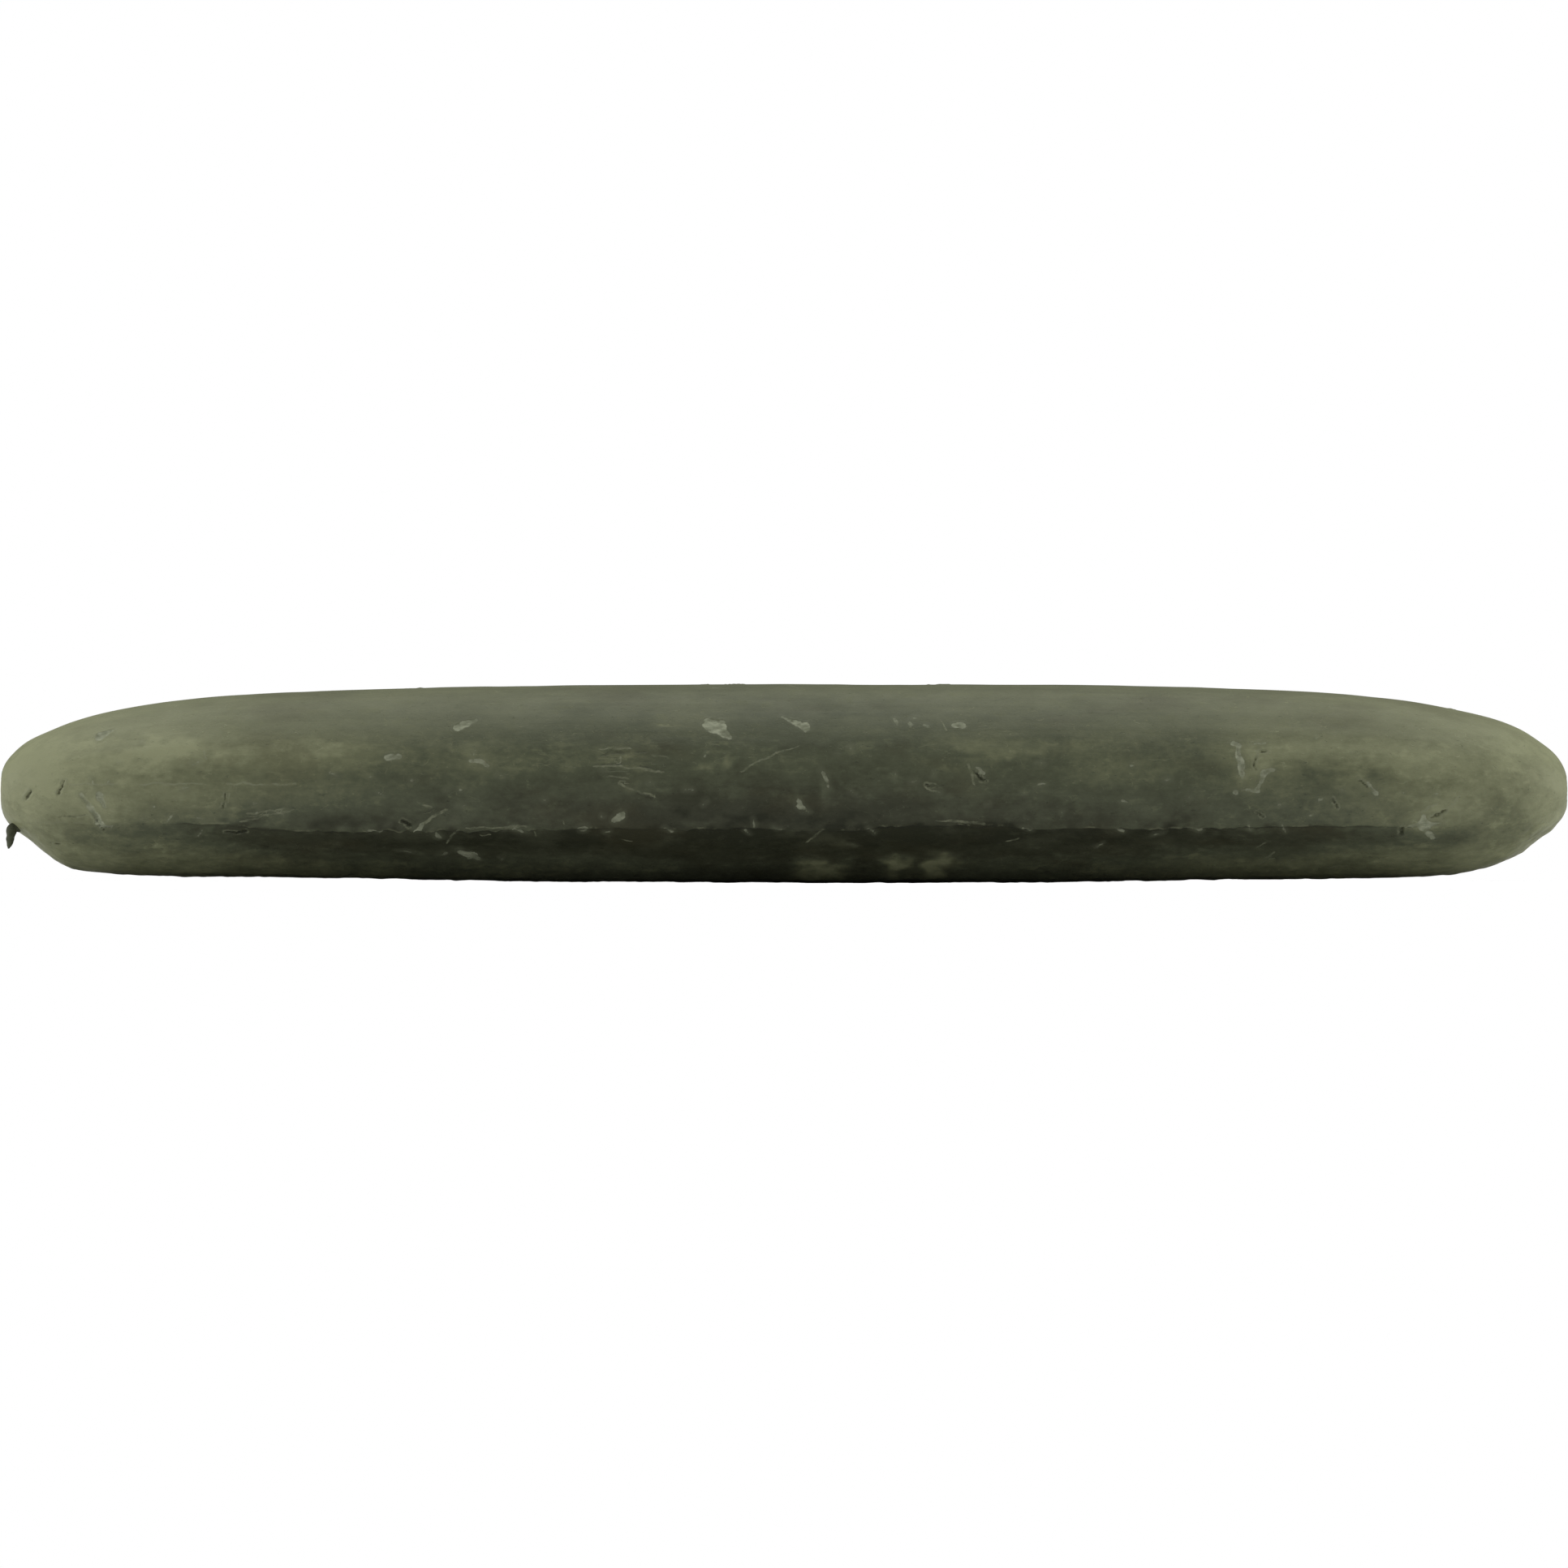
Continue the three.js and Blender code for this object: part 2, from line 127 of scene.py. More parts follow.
CHIPS = (  # the skin is off, and pale paper shows
    (-6.00, 4.60, 0.56, -5.20, 4.35, 0.52), (-5.20, 4.35, 0.50, -4.40, 3.75, 0.24),
    (-6.30, 5.10, 0.16, -5.10, 4.90, 0.24), (0.85, 4.88, 0.26, 1.75, 4.42, 0.38),
    (-0.25, 5.35, 0.06, 0.80, 4.95, 0.20), (-26.30, 4.35, 0.34, -25.30, 4.80, 0.28),
    (-25.30, 4.80, 0.28, -24.75, 5.05, 0.12), (-26.10, -6.00, 0.26, -25.20, -6.35, 0.40),
    (-25.40, -6.50, 0.30, -24.60, -6.65, 0.20), (-25.15, 1.85, 0.16, -24.35, 1.80, 0.18),
    (-24.35, 1.80, 0.18, -23.65, 1.40, 0.12), (-31.90, 2.05, 0.22, -31.00, 2.10, 0.24),
    (2.95, 1.10, 0.10, 3.30, 0.50, 0.20), (3.30, 0.50, 0.20, 3.68, -0.30, 0.07),
    (1.15, -1.35, 0.12, 1.30, -1.80, 0.24), (1.30, -1.80, 0.24, 2.00, -2.15, 0.10),
    (9.00, 5.05, 0.15, 9.15, 4.80, 0.20), (10.10, 4.70, 0.16, 10.20, 4.64, 0.14),
    (10.45, 5.20, 0.12, 10.65, 5.20, 0.10), (11.20, 4.65, 0.07, 11.60, 4.45, 0.08),
    (13.75, 4.55, 0.20, 14.45, 4.50, 0.24), (-29.50, -3.65, 0.26, -29.15, -3.15, 0.16),
    (-28.40, -3.70, 0.06, -27.75, -4.55, 0.20), (-13.80, -2.95, 0.12, -13.10, -2.42, 0.30),
    (-55.25, 3.70, 0.30, -54.35, 4.20, 0.24), (15.45, 1.25, 0.12, 16.00, 0.75, 0.18),
    (36.20, 3.15, 0.22, 36.80, 3.05, 0.14), (36.65, 2.80, 0.16, 36.70, 1.70, 0.30),
    (36.70, 1.70, 0.30, 36.90, 0.40, 0.14), (37.60, 3.15, 0.07, 38.80, 3.20, 0.10),
    (37.70, -0.54, 0.12, 38.10, -0.50, 0.18), (36.90, -0.50, 0.06, 37.70, -0.54, 0.10),
    (39.40, 1.10, 0.12, 38.70, 0.85, 0.26), (38.70, 0.85, 0.24, 38.40, 0.20, 0.12),
    (38.30, 0.10, 0.10, 38.00, -0.45, 0.16), (38.00, -0.45, 0.12, 37.10, -0.50, 0.06),
    (36.38, -0.58, 0.16, 36.45, -0.60, 0.18), (47.05, -0.10, 0.16, 47.60, -0.70, 0.16),
    (51.20, -3.25, 0.30, 52.35, -4.45, 0.22), (50.10, -3.45, 0.12, 51.30, -3.15, 0.34),
    (51.45, -2.50, 0.20, 51.80, -3.40, 0.42), (51.90, -3.30, 0.30, 52.90, -3.05, 0.08),
    (-56.50, -0.90, 0.16, -55.60, -2.20, 0.24), (-55.60, -2.20, 0.24, -55.00, -3.30, 0.36),
    (-55.10, -0.90, 0.34, -54.70, -1.70, 0.16), (-55.00, -3.30, 0.36, -54.20, -3.45, 0.16),
    (-33.40, -3.70, 0.08, -32.60, -3.95, 0.14), (-21.70, -3.55, 0.16, -21.10, -3.95, 0.10),
    (-9.60, -3.50, 0.10, -9.10, -3.90, 0.16), (6.80, -3.60, 0.14, 7.30, -4.10, 0.08),
    (19.20, -3.55, 0.10, 19.80, -3.85, 0.16), (26.70, -3.70, 0.08, 27.30, -4.00, 0.14),
    (-3.10, -3.80, 0.12, -2.70, -4.30, 0.06), (32.90, -3.65, 0.10, 33.60, -3.85, 0.14),
    (-31.30, -5.95, 0.08, -30.20, -6.00, 0.12), (-27.90, -6.35, 0.09, -27.25, -6.15, 0.13),
    (-22.85, -6.50, 0.08, -22.80, -6.75, 0.08), (-47.60, 1.55, 0.12, -47.20, 1.65, 0.10),
)

CUTS = (  # nicks, slits and pits
    (-61.15, -1.10, 0.07, -60.85, -0.65, 0.13), (-58.45, -0.70, 0.11, -58.20, -0.20, 0.08),
    (-58.20, -0.20, 0.07, -57.95, 0.35, 0.02), (-44.95, -0.45, 0.01, -45.20, -1.90, 0.04),
    (-45.10, -4.15, 0.04, -43.40, -4.00, 0.09), (15.15, 0.90, 0.03, 15.75, 0.42, 0.10),
    (15.75, 0.42, 0.07, 16.30, 0.22, 0.02), (11.40, -0.05, 0.04, 12.05, -0.10, 0.02),
    (46.20, 0.25, 0.03, 46.95, -0.30, 0.08), (44.10, -1.15, 0.03, 44.45, -1.85, 0.05),
    (49.80, -3.45, 0.10, 49.82, -4.20, 0.09), (38.00, -2.10, 0.02, 38.50, -2.50, 0.04),
    (52.30, -2.45, 0.05, 53.30, -2.05, 0.07), (52.10, -2.55, 0.02, 52.75, -2.45, 0.05),
    (37.95, 2.10, 0.03, 37.75, 1.55, 0.06), (37.75, 1.55, 0.06, 38.10, 1.05, 0.03),
    (38.20, 2.55, 0.06, 38.90, 2.50, 0.03), (-55.50, -2.60, 0.02, -54.95, -3.80, 0.04),
    (-58.90, -4.90, 0.06, -58.50, -4.95, 0.09), (-30.70, -2.85, 0.10, -30.10, -3.15, 0.14),
)

LIGHT_LINES = (  # fine scratches and lifted fibres, and painted highlights on the lip of the free edge
    (-3.60, 0.95, 0.04, -2.10, 1.65, 0.07), (-2.10, 1.65, 0.07, -0.70, 2.35, 0.09),
    (-0.70, 2.35, 0.09, 1.30, 3.00, 0.02), (-29.10, -3.10, 0.12, -27.00, -1.90, 0.10),
    (-29.50, -1.40, 0.06, -28.30, -1.90, 0.09), (-27.30, -5.20, 0.06, -26.20, -3.60, 0.11),
    (-15.30, 1.42, 0.08, -12.90, 1.34, 0.10), (-12.90, 1.34, 0.06, -11.50, 1.20, 0.06),
    (-11.50, 1.20, 0.12, -9.60, 0.85, 0.07), (-13.10, 2.25, 0.09, -13.05, 1.62, 0.08),
    (-14.90, 2.75, 0.06, -12.20, 2.80, 0.08), (-14.60, 0.55, 0.05, -12.40, 0.45, 0.07),
    (-12.60, -0.30, 0.07, -10.30, -0.95, 0.08), (-13.35, 0.05, 0.12, -12.60, -0.30, 0.08),
    (-10.70, 2.20, 0.08, -9.30, 2.00, 0.04), (-17.60, 1.40, 0.05, -16.70, 1.25, 0.08),
    (14.74, 1.55, 0.09, 15.25, -0.10, 0.09), (12.60, 5.05, 0.06, 13.05, 4.20, 0.08),
    (11.30, -0.28, 0.08, 12.55, -0.60, 0.06), (33.40, 6.55, 0.08, 34.30, 6.35, 0.03),
    (-57.70, 0.02, 0.05, -53.00, 0.00, 0.08), (-51.90, 0.02, 0.09, -46.50, -0.02, 0.06),
    (-44.90, 0.00, 0.10, -39.20, -0.03, 0.08), (-46.65, 2.70, 0.08, -46.60, 1.90, 0.06),
    (-43.90, -2.95, 0.07, -39.60, -2.15, 0.09), (-43.20, -2.30, 0.08, -39.20, -1.95, 0.07),
    (-44.55, -0.15, 0.11, -44.75, -1.50, 0.06), (38.10, -5.60, 0.06, 39.25, -5.05, 0.10),
    (38.30, -7.05, 0.08, 39.60, -6.50, 0.10), (38.70, -6.60, 0.07, 39.75, -6.10, 0.08),
    (43.90, -7.15, 0.08, 45.60, -7.10, 0.06), (52.60, -2.20, 0.07, 53.60, -1.80, 0.10),
    (53.60, -1.80, 0.10, 54.45, -0.95, 0.12), (51.20, -2.20, 0.08, 52.60, -1.50, 0.09),
    (-56.90, -2.60, 0.09, -55.60, -2.40, 0.06), (17.80, -5.05, 0.06, 18.90, -4.75, 0.08),
    (1.80, -5.10, 0.07, 3.10, -3.80, 0.12), (-24.60, -4.30, 0.06, -23.60, -4.25, 0.06),
    # Painted highlights on the lip of the free edge, from x 12.2 to 16.2 and from -25.7 to -20.6.
    (12.20, -2.90, 0.07, 16.20, -3.12, 0.12), (-25.70, -3.45, 0.06, -20.60, -3.35, 0.08),
    (-17.80, -2.85, 0.05, -17.75, -3.20, 0.06), (-20.10, -4.00, 0.05, -20.05, -4.50, 0.06),
    (-13.10, -4.80, 0.05, -12.20, -4.95, 0.06), (40.60, -6.80, 0.05, 41.80, -6.65, 0.07),
    (28.20, 5.00, 0.05, 28.55, 4.75, 0.06), (-9.40, 5.75, 0.05, -8.60, 5.70, 0.09),
)

# Dark scratches; the long one from x 30 to 40, just below the free edge, is painted shadow under the edge.
DARK_LINES = (
    (-14.90, 2.10, 0.04, -13.90, 2.50, 0.12), (-13.90, 2.50, 0.12, -11.00, 2.42, 0.07),
    (-15.05, 1.55, 0.10, -12.90, 1.50, 0.05), (-11.50, 1.34, 0.08, -10.70, 1.28, 0.06),
    # Painted shadow under the free edge from x 30 to 40; the other line here is a scratch.
    (30.00, -3.66, 0.12, 40.00, -3.58, 0.10), (-11.90, -0.72, 0.05, -10.60, -1.10, 0.06),
    (-58.40, -2.62, 0.05, -56.20, -2.45, 0.07),
)

RING = (-16.15, -3.70, 0.33)  # a little ring printed into the skin: x, height and radius

PATCHES_AND_PAINTED_LIGHT = (  # soft patches, partly the skin's own and partly painted light and shade: x, height, half length, half height and strength: above zero paler, below zero darker
    (44.0, 2.6, 6.5, 0.9, 0.42), (51.0, 1.9, 3.0, 1.0, 0.30), (38.2, 1.3, 2.0, 2.3, 0.30),
    (18.5, 2.9, 4.5, 0.6, 0.34), (-55.4, -1.8, 1.6, 1.5, 0.42), (-47.0, -0.9, 9.5, 1.0, 0.22),
    (-12.8, 2.0, 2.2, 0.8, 0.30), (-50.0, 0.7, 6.0, 0.4, -0.14), (-12.6, -0.2, 2.0, 0.7, 0.40),
    (13.4, 0.9, 3.2, 1.0, 0.24), (-24.3, 1.9, 1.3, 1.1, 0.34), (-6.2, 1.3, 1.1, 0.4, 0.52),
    (-4.2, 1.6, 0.4, 0.7, 0.42), (14.0, -2.4, 2.6, 0.7, 0.26), (51.7, -3.2, 1.5, 1.0, 0.40),
    (53.6, -1.5, 1.3, 0.8, 0.36), (57.8, -1.8, 4.0, 2.4, -0.20), (4.5, -5.3, 1.0, 0.5, 0.85),
    (-0.4, -3.9, 0.9, 0.4, 0.50), (3.1, -7.3, 1.6, 0.7, 1.30), (8.4, -7.1, 1.0, 0.8, 1.60),
    (12.2, -6.9, 1.1, 0.9, 1.50), (15.0, 3.4, 2.4, 0.7, 0.20), (-30.0, -4.4, 2.4, 0.8, 0.40),
    (-35.0, -2.9, 3.0, 0.5, -0.25), (-5.0, -2.6, 6.0, 0.6, -0.30), (46.5, 0.9, 4.5, 0.9, -0.20),
    (25.8, 0.9, 3.2, 1.4, 0.26), (-50.0, 2.4, 7.0, 1.4, 0.60), (-38.5, 1.2, 4.5, 2.8, 0.14),
    (-58.5, 0.0, 3.0, 3.0, 0.12), (-37.5, 2.4, 5.0, 0.9, 0.30), (-23.5, -2.4, 3.0, 0.5, 0.20),
    (2.5, -4.6, 1.3, 0.8, 0.65), (3.4, -0.7, 0.5, 1.3, 0.50), (-9.0, -5.4, 1.6, 0.7, 0.40),
    (20.5, -5.0, 1.8, 0.8, 0.35), (-20.0, -5.0, 1.4, 0.6, 0.35), (30.0, -5.2, 2.0, 0.7, 0.30),
    (37.8, 1.2, 1.2, 1.2, 0.12), (15.7, -0.6, 1.6, 1.0, 0.30), (-17.0, -6.6, 5.0, 0.8, 0.25),
    (33.0, -6.4, 6.0, 1.0, 0.15),
)

# How dark the skin's colour is, from about 0 to 1, partly graphite soiling and partly painted light and
# shade:
# lighter on top, darker down the front to just below the free edge. Columns: distance from the end, then on
# top, in front, just above the free edge, just below it, and underneath.
SOIL_AND_PAINTED_SHADE = (
    (0, -0.02, -0.06, 0.02, 0.12, 0.08),
    (3, 0.03, 0.02, 0.10, 0.20, 0.06),
    (7, 0.12, 0.12, 0.22, 0.34, 0.06),
    (13, 0.19, 0.24, 0.34, 0.52, 0.09),
    (22, 0.28, 0.33, 0.50, 0.74, 0.24),
    (36, 0.36, 0.44, 0.62, 0.92, 0.38),
    (HALF, 0.40, 0.52, 0.84, 0.98, 0.62),
)


def scattered(seed, count, longest, widest):
    """Small marks in chance places: x, height and half width at both ends."""
    chance = np.random.default_rng(seed)
    marks = []
    for _ in range(count):
        x, height = chance.uniform(-57, 57), chance.triangular(-6.4, -1.5, 5.4)
        length, slant = chance.uniform(0.1, 1) ** 2 * longest, chance.normal(0, 0.5)
        wide, narrow = chance.uniform(0.25, 1) * widest, chance.uniform(0.1, 0.6) * widest
        far_x, far_height = x + length * math.cos(slant), height + length * math.sin(slant)
        marks.append((x, height, wide, far_x, far_height, narrow))
    return tuple(marks)


SPECKS = scattered(3, 70, 1.0, 0.09)  # on the front, among the marks above
BACK_CHIPS = scattered(5, 46, 2.2, 0.34)
BACK_CUTS = scattered(6, 18, 1.8, 0.12)
BACK_LINES = scattered(7, 40, 7.0, 0.11)
TOP_CHIPS = scattered(8, 22, 1.8, 0.20)
TOP_LINES = scattered(9, 24, 8.0, 0.09)


# ---- Smooth curves and noise ----------------------------------------------------------------------

def smooth(low, high, value):
    share = np.clip((value - low) / (high - low), 0, 1)
    return share * share * (3 - 2 * share)


def smooth_curve(xs, ys, at):
    """A curve through the points without overshoot (monotone cubic)."""
    xs, ys, at = np.asarray(xs, float), np.asarray(ys, float), np.asarray(at, float)
    width = np.diff(xs)
    slope = np.diff(ys) / width
    tangent = np.empty_like(xs)
    tangent[1:-1] = np.where(slope[1:] * slope[:-1] > 0,
                             2 * slope[1:] * slope[:-1] / (slope[1:] + slope[:-1] + 1e-12), 0)
    tangent[0], tangent[-1] = slope[0], slope[-1]
    i = np.clip(np.searchsorted(xs, at) - 1, 0, len(xs) - 2)
    t = (at - xs[i]) / width[i]
    a = (1 + 2 * t) * (1 - t) ** 2 * ys[i] + t * (1 - t) ** 2 * width[i] * tangent[i]
    b = t * t * (3 - 2 * t) * ys[i + 1] - t * t * (1 - t) * width[i] * tangent[i + 1]
    return a + b


def noise(seed, u, v, u_cell, v_cell):
    """Smooth value noise from -1 to 1 over u and v, in cells of the given sizes."""
    size = 256
    grid = np.random.default_rng(seed).uniform(-1, 1, (size, size))
    u, v = np.asarray(u) / u_cell + 100.3, np.asarray(v) / v_cell + 100.7
    iu, iv = np.floor(u).astype(int), np.floor(v).astype(int)
    fu, fv = u - iu, v - iv
    fu, fv = fu * fu * (3 - 2 * fu), fv * fv * (3 - 2 * fv)
    left, right = iu % size, (iu + 1) % size
    lower, upper = iv % size, (iv + 1) % size
    low = grid[left, lower] * (1 - fu) + grid[right, lower] * fu
    high = grid[left, upper] * (1 - fu) + grid[right, upper] * fu
    return low * (1 - fv) + high * fv


# ---- Shape of the stick ---------------------------------------------------------------------------

def from_end(table, column, x):
    """A column of a table by distance from the end, at x."""
    columns = np.array(table).T
    return smooth_curve(np.sqrt(columns[0]), columns[column], np.sqrt(np.clip(HALF - np.abs(x), 0, None)))


def section(x):
    """Height of the widest place at x, the half depth there, and the half heights above and below it."""
    middle = from_end(SECTION, 1, x)
    top = np.where(x < 0, from_end(OUTLINE, 1, x), from_end(OUTLINE, 3, x))
    bottom = np.where(x < 0, from_end(OUTLINE, 2, x), from_end(OUTLINE, 4, x))
    return middle, from_end(SECTION, 2, x), top - middle, middle - bottom


def edge_angle(x):
    """Angle of the sheet's free edge, from the front towards the top."""
    middle, depth, _, below = section(x)
    places, heights = np.array(EDGE).T
    wander = 0.12 * noise(12, x, 0 * x, 3.1, 1) + 0.08 * noise(14, x, 0 * x, 1.2, 1)
    torn = smooth(-0.3, 0.5, noise(15, x, 0 * x, 4.7, 1)) * smooth(8, 26, HALF - np.abs(x))
    fray = (0.03 + 0.13 * torn) * noise(13, x, 0 * x, 0.55, 1)
    fray = fray + 0.06 * torn * noise(16, x, 0 * x, 0.25, 1)
    height = smooth_curve(places, heights, x) + (wander + fray) * np.clip(depth / 5, 0.1, 1) - middle
    return np.arcsin(np.clip(height / below, -0.87, 0))


def thinning(x):
    """The sheet's thickness and its steps at x, as a share of those at mid-length."""
    return 0.12 + 0.88 * smooth(1.5, 13, HALF - np.abs(x))


def on_front(x, angle):
    """Height above the axis of a place on the skin, and how much its view from the front is shortened."""
    middle, _, above, below = section(x)
    height = middle + np.where(angle > 0, above, below) * np.sin(angle)
    return height, np.cos(angle)


def mark_field(marks, x, height, facing):
    """How far inside the nearest mark each place is (below zero outside), and that mark's half width."""
    field, size = np.full(x.shape, -3.0), np.zeros(x.shape)
    for x0, h0, w0, x1, h1, w1 in marks:
        near = np.abs(x - (x0 + x1) / 2) < abs(x1 - x0) / 2 + 2
        near &= np.abs(height - (h0 + h1) / 2) < abs(h1 - h0) / 2 + 2
        near &= facing > 0.2
        px, ph = x[near] - x0, (height[near] - h0) / facing[near]
        dx, dh = x1 - x0, (h1 - h0) / facing[near]
        share = np.clip((px * dx + ph * dh) / (dx * dx + dh * dh), 0, 1)
        far = np.hypot(px - share * dx, ph - share * dh)
        half = w0 + (w1 - w0) * share
        size[near] = np.where(half - far > field[near], half, size[near])
        field[near] = np.maximum(field[near], half - far)
    return field, size


def line_field(lines, x, height, facing):
    """Signed distance across the nearest line, and its half width there (below zero past its ends)."""
    across, width = np.full(x.shape, 3.0), np.full(x.shape, -1.0)
    for x0, h0, w0, x1, h1, w1 in lines:
        near = np.abs(x - (x0 + x1) / 2) < abs(x1 - x0) / 2 + 1.5
        near &= np.abs(height - (h0 + h1) / 2) < abs(h1 - h0) / 2 + 1.5
        near &= facing > 0.2
        px, ph = x[near] - x0, (height[near] - h0) / facing[near]
        dx, dh = x1 - x0, (h1 - h0) / facing[near]
        length = np.sqrt(dx * dx + dh * dh)
        along = (px * dx + ph * dh) / length
        side = (px * dh - ph * dx) / length
        share = along / length
        past = np.maximum(-along, along - length)
        half = np.where(past > 0, -0.6 * past, w0 + (w1 - w0) * share)
        closer = (np.abs(side) - half < np.abs(across[near]) - width[near]) & (np.abs(side) < 0.7)
        across[near] = np.where(closer, side, across[near])
        width[near] = np.where(closer, half, width[near])
    return across, width


def wear_fields(x, turn):
    """Every attribute that the skin's material reads, as name: values, at x and turns back from the edge."""
    start = edge_angle(x)
    angle = np.mod(start + 2 * np.pi * turn + np.pi, 2 * np.pi) - np.pi
    height, facing = on_front(x, angle)
    _, depth, _, _ = section(x)
    back = np.where(np.abs(turn - 0.5) < 0.4, -facing, -1)
    behind = -depth * facing  # distance behind the axis
    upward = np.where((turn < 0.5) & (behind > -2.6), np.sin(angle), -1)
    facing = np.where(np.abs(turn - 0.5) > 0.2, facing, -1)
    plain_x, plain_height = x, height
    arc = angle * ARC_RADIUS
    x = x + 0.12 * noise(71, x, arc, 0.8, 0.7) + 0.05 * noise(72, x, arc, 0.3, 0.3)
    height = height + 0.10 * noise(73, x, arc, 0.8, 0.7) + 0.05 * noise(74, x, arc, 0.3, 0.3)
    ring_x, ring_height, ring_radius = RING
    ring_rise = (height - ring_height) / np.maximum(facing, 0.2)
    ring = 0.11 - np.abs(np.hypot(x - ring_x, ring_rise) - ring_radius)
    chips, chip_size = mark_field(CHIPS + SPECKS, x, height, facing)
    chips = np.maximum(chips, np.where(facing > 0.2, ring, -3))
    for marks, place, seen in ((BACK_CHIPS, height, back), (TOP_CHIPS, behind, upward)):
        more, size = mark_field(marks, x, place, seen)
        chip_size = np.where(more > chips, size, chip_size)
        chips = np.maximum(chips, more)
    front_cuts, back_cuts = mark_field(CUTS, x, height, facing), mark_field(BACK_CUTS, x, height, back)
    cuts = np.maximum(front_cuts[0], back_cuts[0])
    light_across, light_width = line_field(LIGHT_LINES, x, height, facing)
    for lines, place, seen in ((BACK_LINES, height, back), (TOP_LINES, behind, upward)):
        across, width = line_field(lines, x, place, seen)
        closer = np.abs(across) - width < np.abs(light_across) - light_width
        light_across = np.where(closer, across, light_across)
        light_width = np.where(closer, width, light_width)
    dark_across, dark_width = line_field(DARK_LINES, x, height, facing)
    x, height = plain_x, plain_height
    patches_and_painted_light = np.zeros_like(x)
    hazy_x = x + 1.1 * noise(81, x, arc, 2.1, 1.3) + 0.5 * noise(82, x, arc, 0.7, 0.6)
    hazy_height = height + 0.45 * noise(83, x, arc, 2.1, 1.3) + 0.25 * noise(84, x, arc, 0.7, 0.6)
    for hx, hh, length, tall, strength in PATCHES_AND_PAINTED_LIGHT:
        far = ((hazy_x - hx) / length) ** 2 + ((hazy_height - hh) / tall) ** 2
        patches_and_painted_light += np.where(facing > 0.1, strength * np.exp(-far), 0)
    # Soiling and painted light and shade together: lighter on top, darker down the front towards the free
    # edge.
    top, front, line, under, bottom = (from_end(SOIL_AND_PAINTED_SHADE, column, x) for column in range(1, 6))
    soil_and_painted_shade = front + (top - front) * smooth(0.45, 0.95, np.sin(angle))
    soil_and_painted_shade = soil_and_painted_shade + (line - front) * smooth(-0.35, 0.5, -np.sin(angle))
    edge = np.where(turn < 0.5, turn, turn - 1) * 2 * np.pi * depth  # above the free edge, in mm
    below = np.maximum(1 - turn, 0) * 360 * (turn > 0.5)  # degrees below it
    blur = 0.02 + 1.5 * (1 - smooth(6, 18, HALF - np.abs(x)))  # the line is lost at the noses
    # Below the free edge darker still, painted shade of the pressed flat with its soiling, lighter again
    # underneath.
    lower = (1 - smooth(-1, 1, edge / blur)) * (1 - smooth(95, 150, below))
    soil_and_painted_shade = soil_and_painted_shade + (under + (bottom - under) * smooth(8, 42, below) - soil_and_painted_shade) * lower
    stray = 0.55 * noise(85, x, arc, 2.3, 1.2) + 0.45 * noise(86, x, arc, 0.8, 0.6)
    stray = stray * smooth(6, 24, HALF - np.abs(x)) * np.exp(-np.abs(edge) / 0.7)
    soil_and_painted_shade = soil_and_painted_shade + np.where(edge > 0, 0.75 * np.maximum(stray, 0), 0.60 * np.minimum(stray, 0))
    return {
        "soil_and_painted_shade": soil_and_painted_shade, "patches_and_painted_light": patches_and_painted_light,
        "chips": chips, "chip_size": chip_size, "cuts": cuts, "edge": edge,
        "scuffed": 0.25 + 0.65 * (1 - smooth(2.9, 4.4, height)) + 0.25 * lower,
        "light_across": light_across, "light_width": light_width,
        "dark_across": dark_across, "dark_width": dark_width,
    }


def relief(x, turn, angle, fields):
    """Height of the skin's lumps, chips and cuts over the smooth sheet."""
    _, depth, _, _ = section(x)
    arc = angle * ARC_RADIUS
    lumps = (0.05 * noise(21, x, arc, 14, 9) + 0.03 * noise(22, x, arc, 5, 3.3)
             + 0.018 * noise(23, x, arc, 24, 0.9) + 0.010 * noise(24, x, arc, 1.6, 1.1))
    rough = smooth(56, 61, x) * (turn > 0.5) * (1 - smooth(60, 120, (1 - turn) * 360))
    lumps += 0.10 * rough * noise(25, x, arc, 0.8, 1.2)
    lower = (turn > 0.5) * smooth(4, 20, (1 - turn) * 360) * (1 - smooth(100, 140, (1 - turn) * 360))
    lumps += lower * (0.05 * noise(26, x, arc, 1.3, 1.1) + 0.03 * noise(27, x, arc, 0.5, 0.5))
    chips, cuts, edge = fields["chips"], fields["cuts"], fields["edge"]
    lifted = 0.05 * np.exp(-((chips + 0.02) / 0.09) ** 2) - 0.06 * smooth(0, 0.16, chips)
    nicked = 0.05 * np.exp(-((cuts + 0.16) / 0.09) ** 2) - 0.14 * smooth(-0.08, 0.08, cuts)
    worn = -0.10 * np.exp(-np.maximum(edge, 0) / 0.14) * (turn < 0.5)
    return lumps * np.clip(depth / 4, 0.15, 1) + lifted + nicked + worn * thinning(x)


def skin_point(x, turn, down, fields=None):
    """Points of the sheet at x, a number of turns back from the free edge, a depth below its face."""
    step = 0.02
    middle, depth, above, below = section(x)
    slope = (section(x + step)[1] - section(x - step)[1]) / (2 * step)
    steep = np.sqrt(1 + slope * slope)
    angle = edge_angle(x) + 2 * np.pi * turn
    under = np.clip((1 - turn) * 2 * np.pi / PRESS_WIDTH, 0, 1)
    pressed = PRESS_DEPTH * smooth(6, 20, HALF - np.abs(x)) * 4 * under * (1 - under)
    rise = STEP * (MEAN_TURN - turn) * thinning(x)
    raised = rise - pressed - down
    if fields:
        raised = raised + relief(x, turn, angle, fields)
    along = x - raised * slope / steep
    reach = raised / steep
    tall = np.where(np.sin(angle) > 0, above, below)
    height = middle - SINK + (tall + reach) * np.sin(angle) + AXIS_HEIGHT
    return np.stack([along, -(depth + reach) * np.cos(angle), np.maximum(height, 0)], -1)


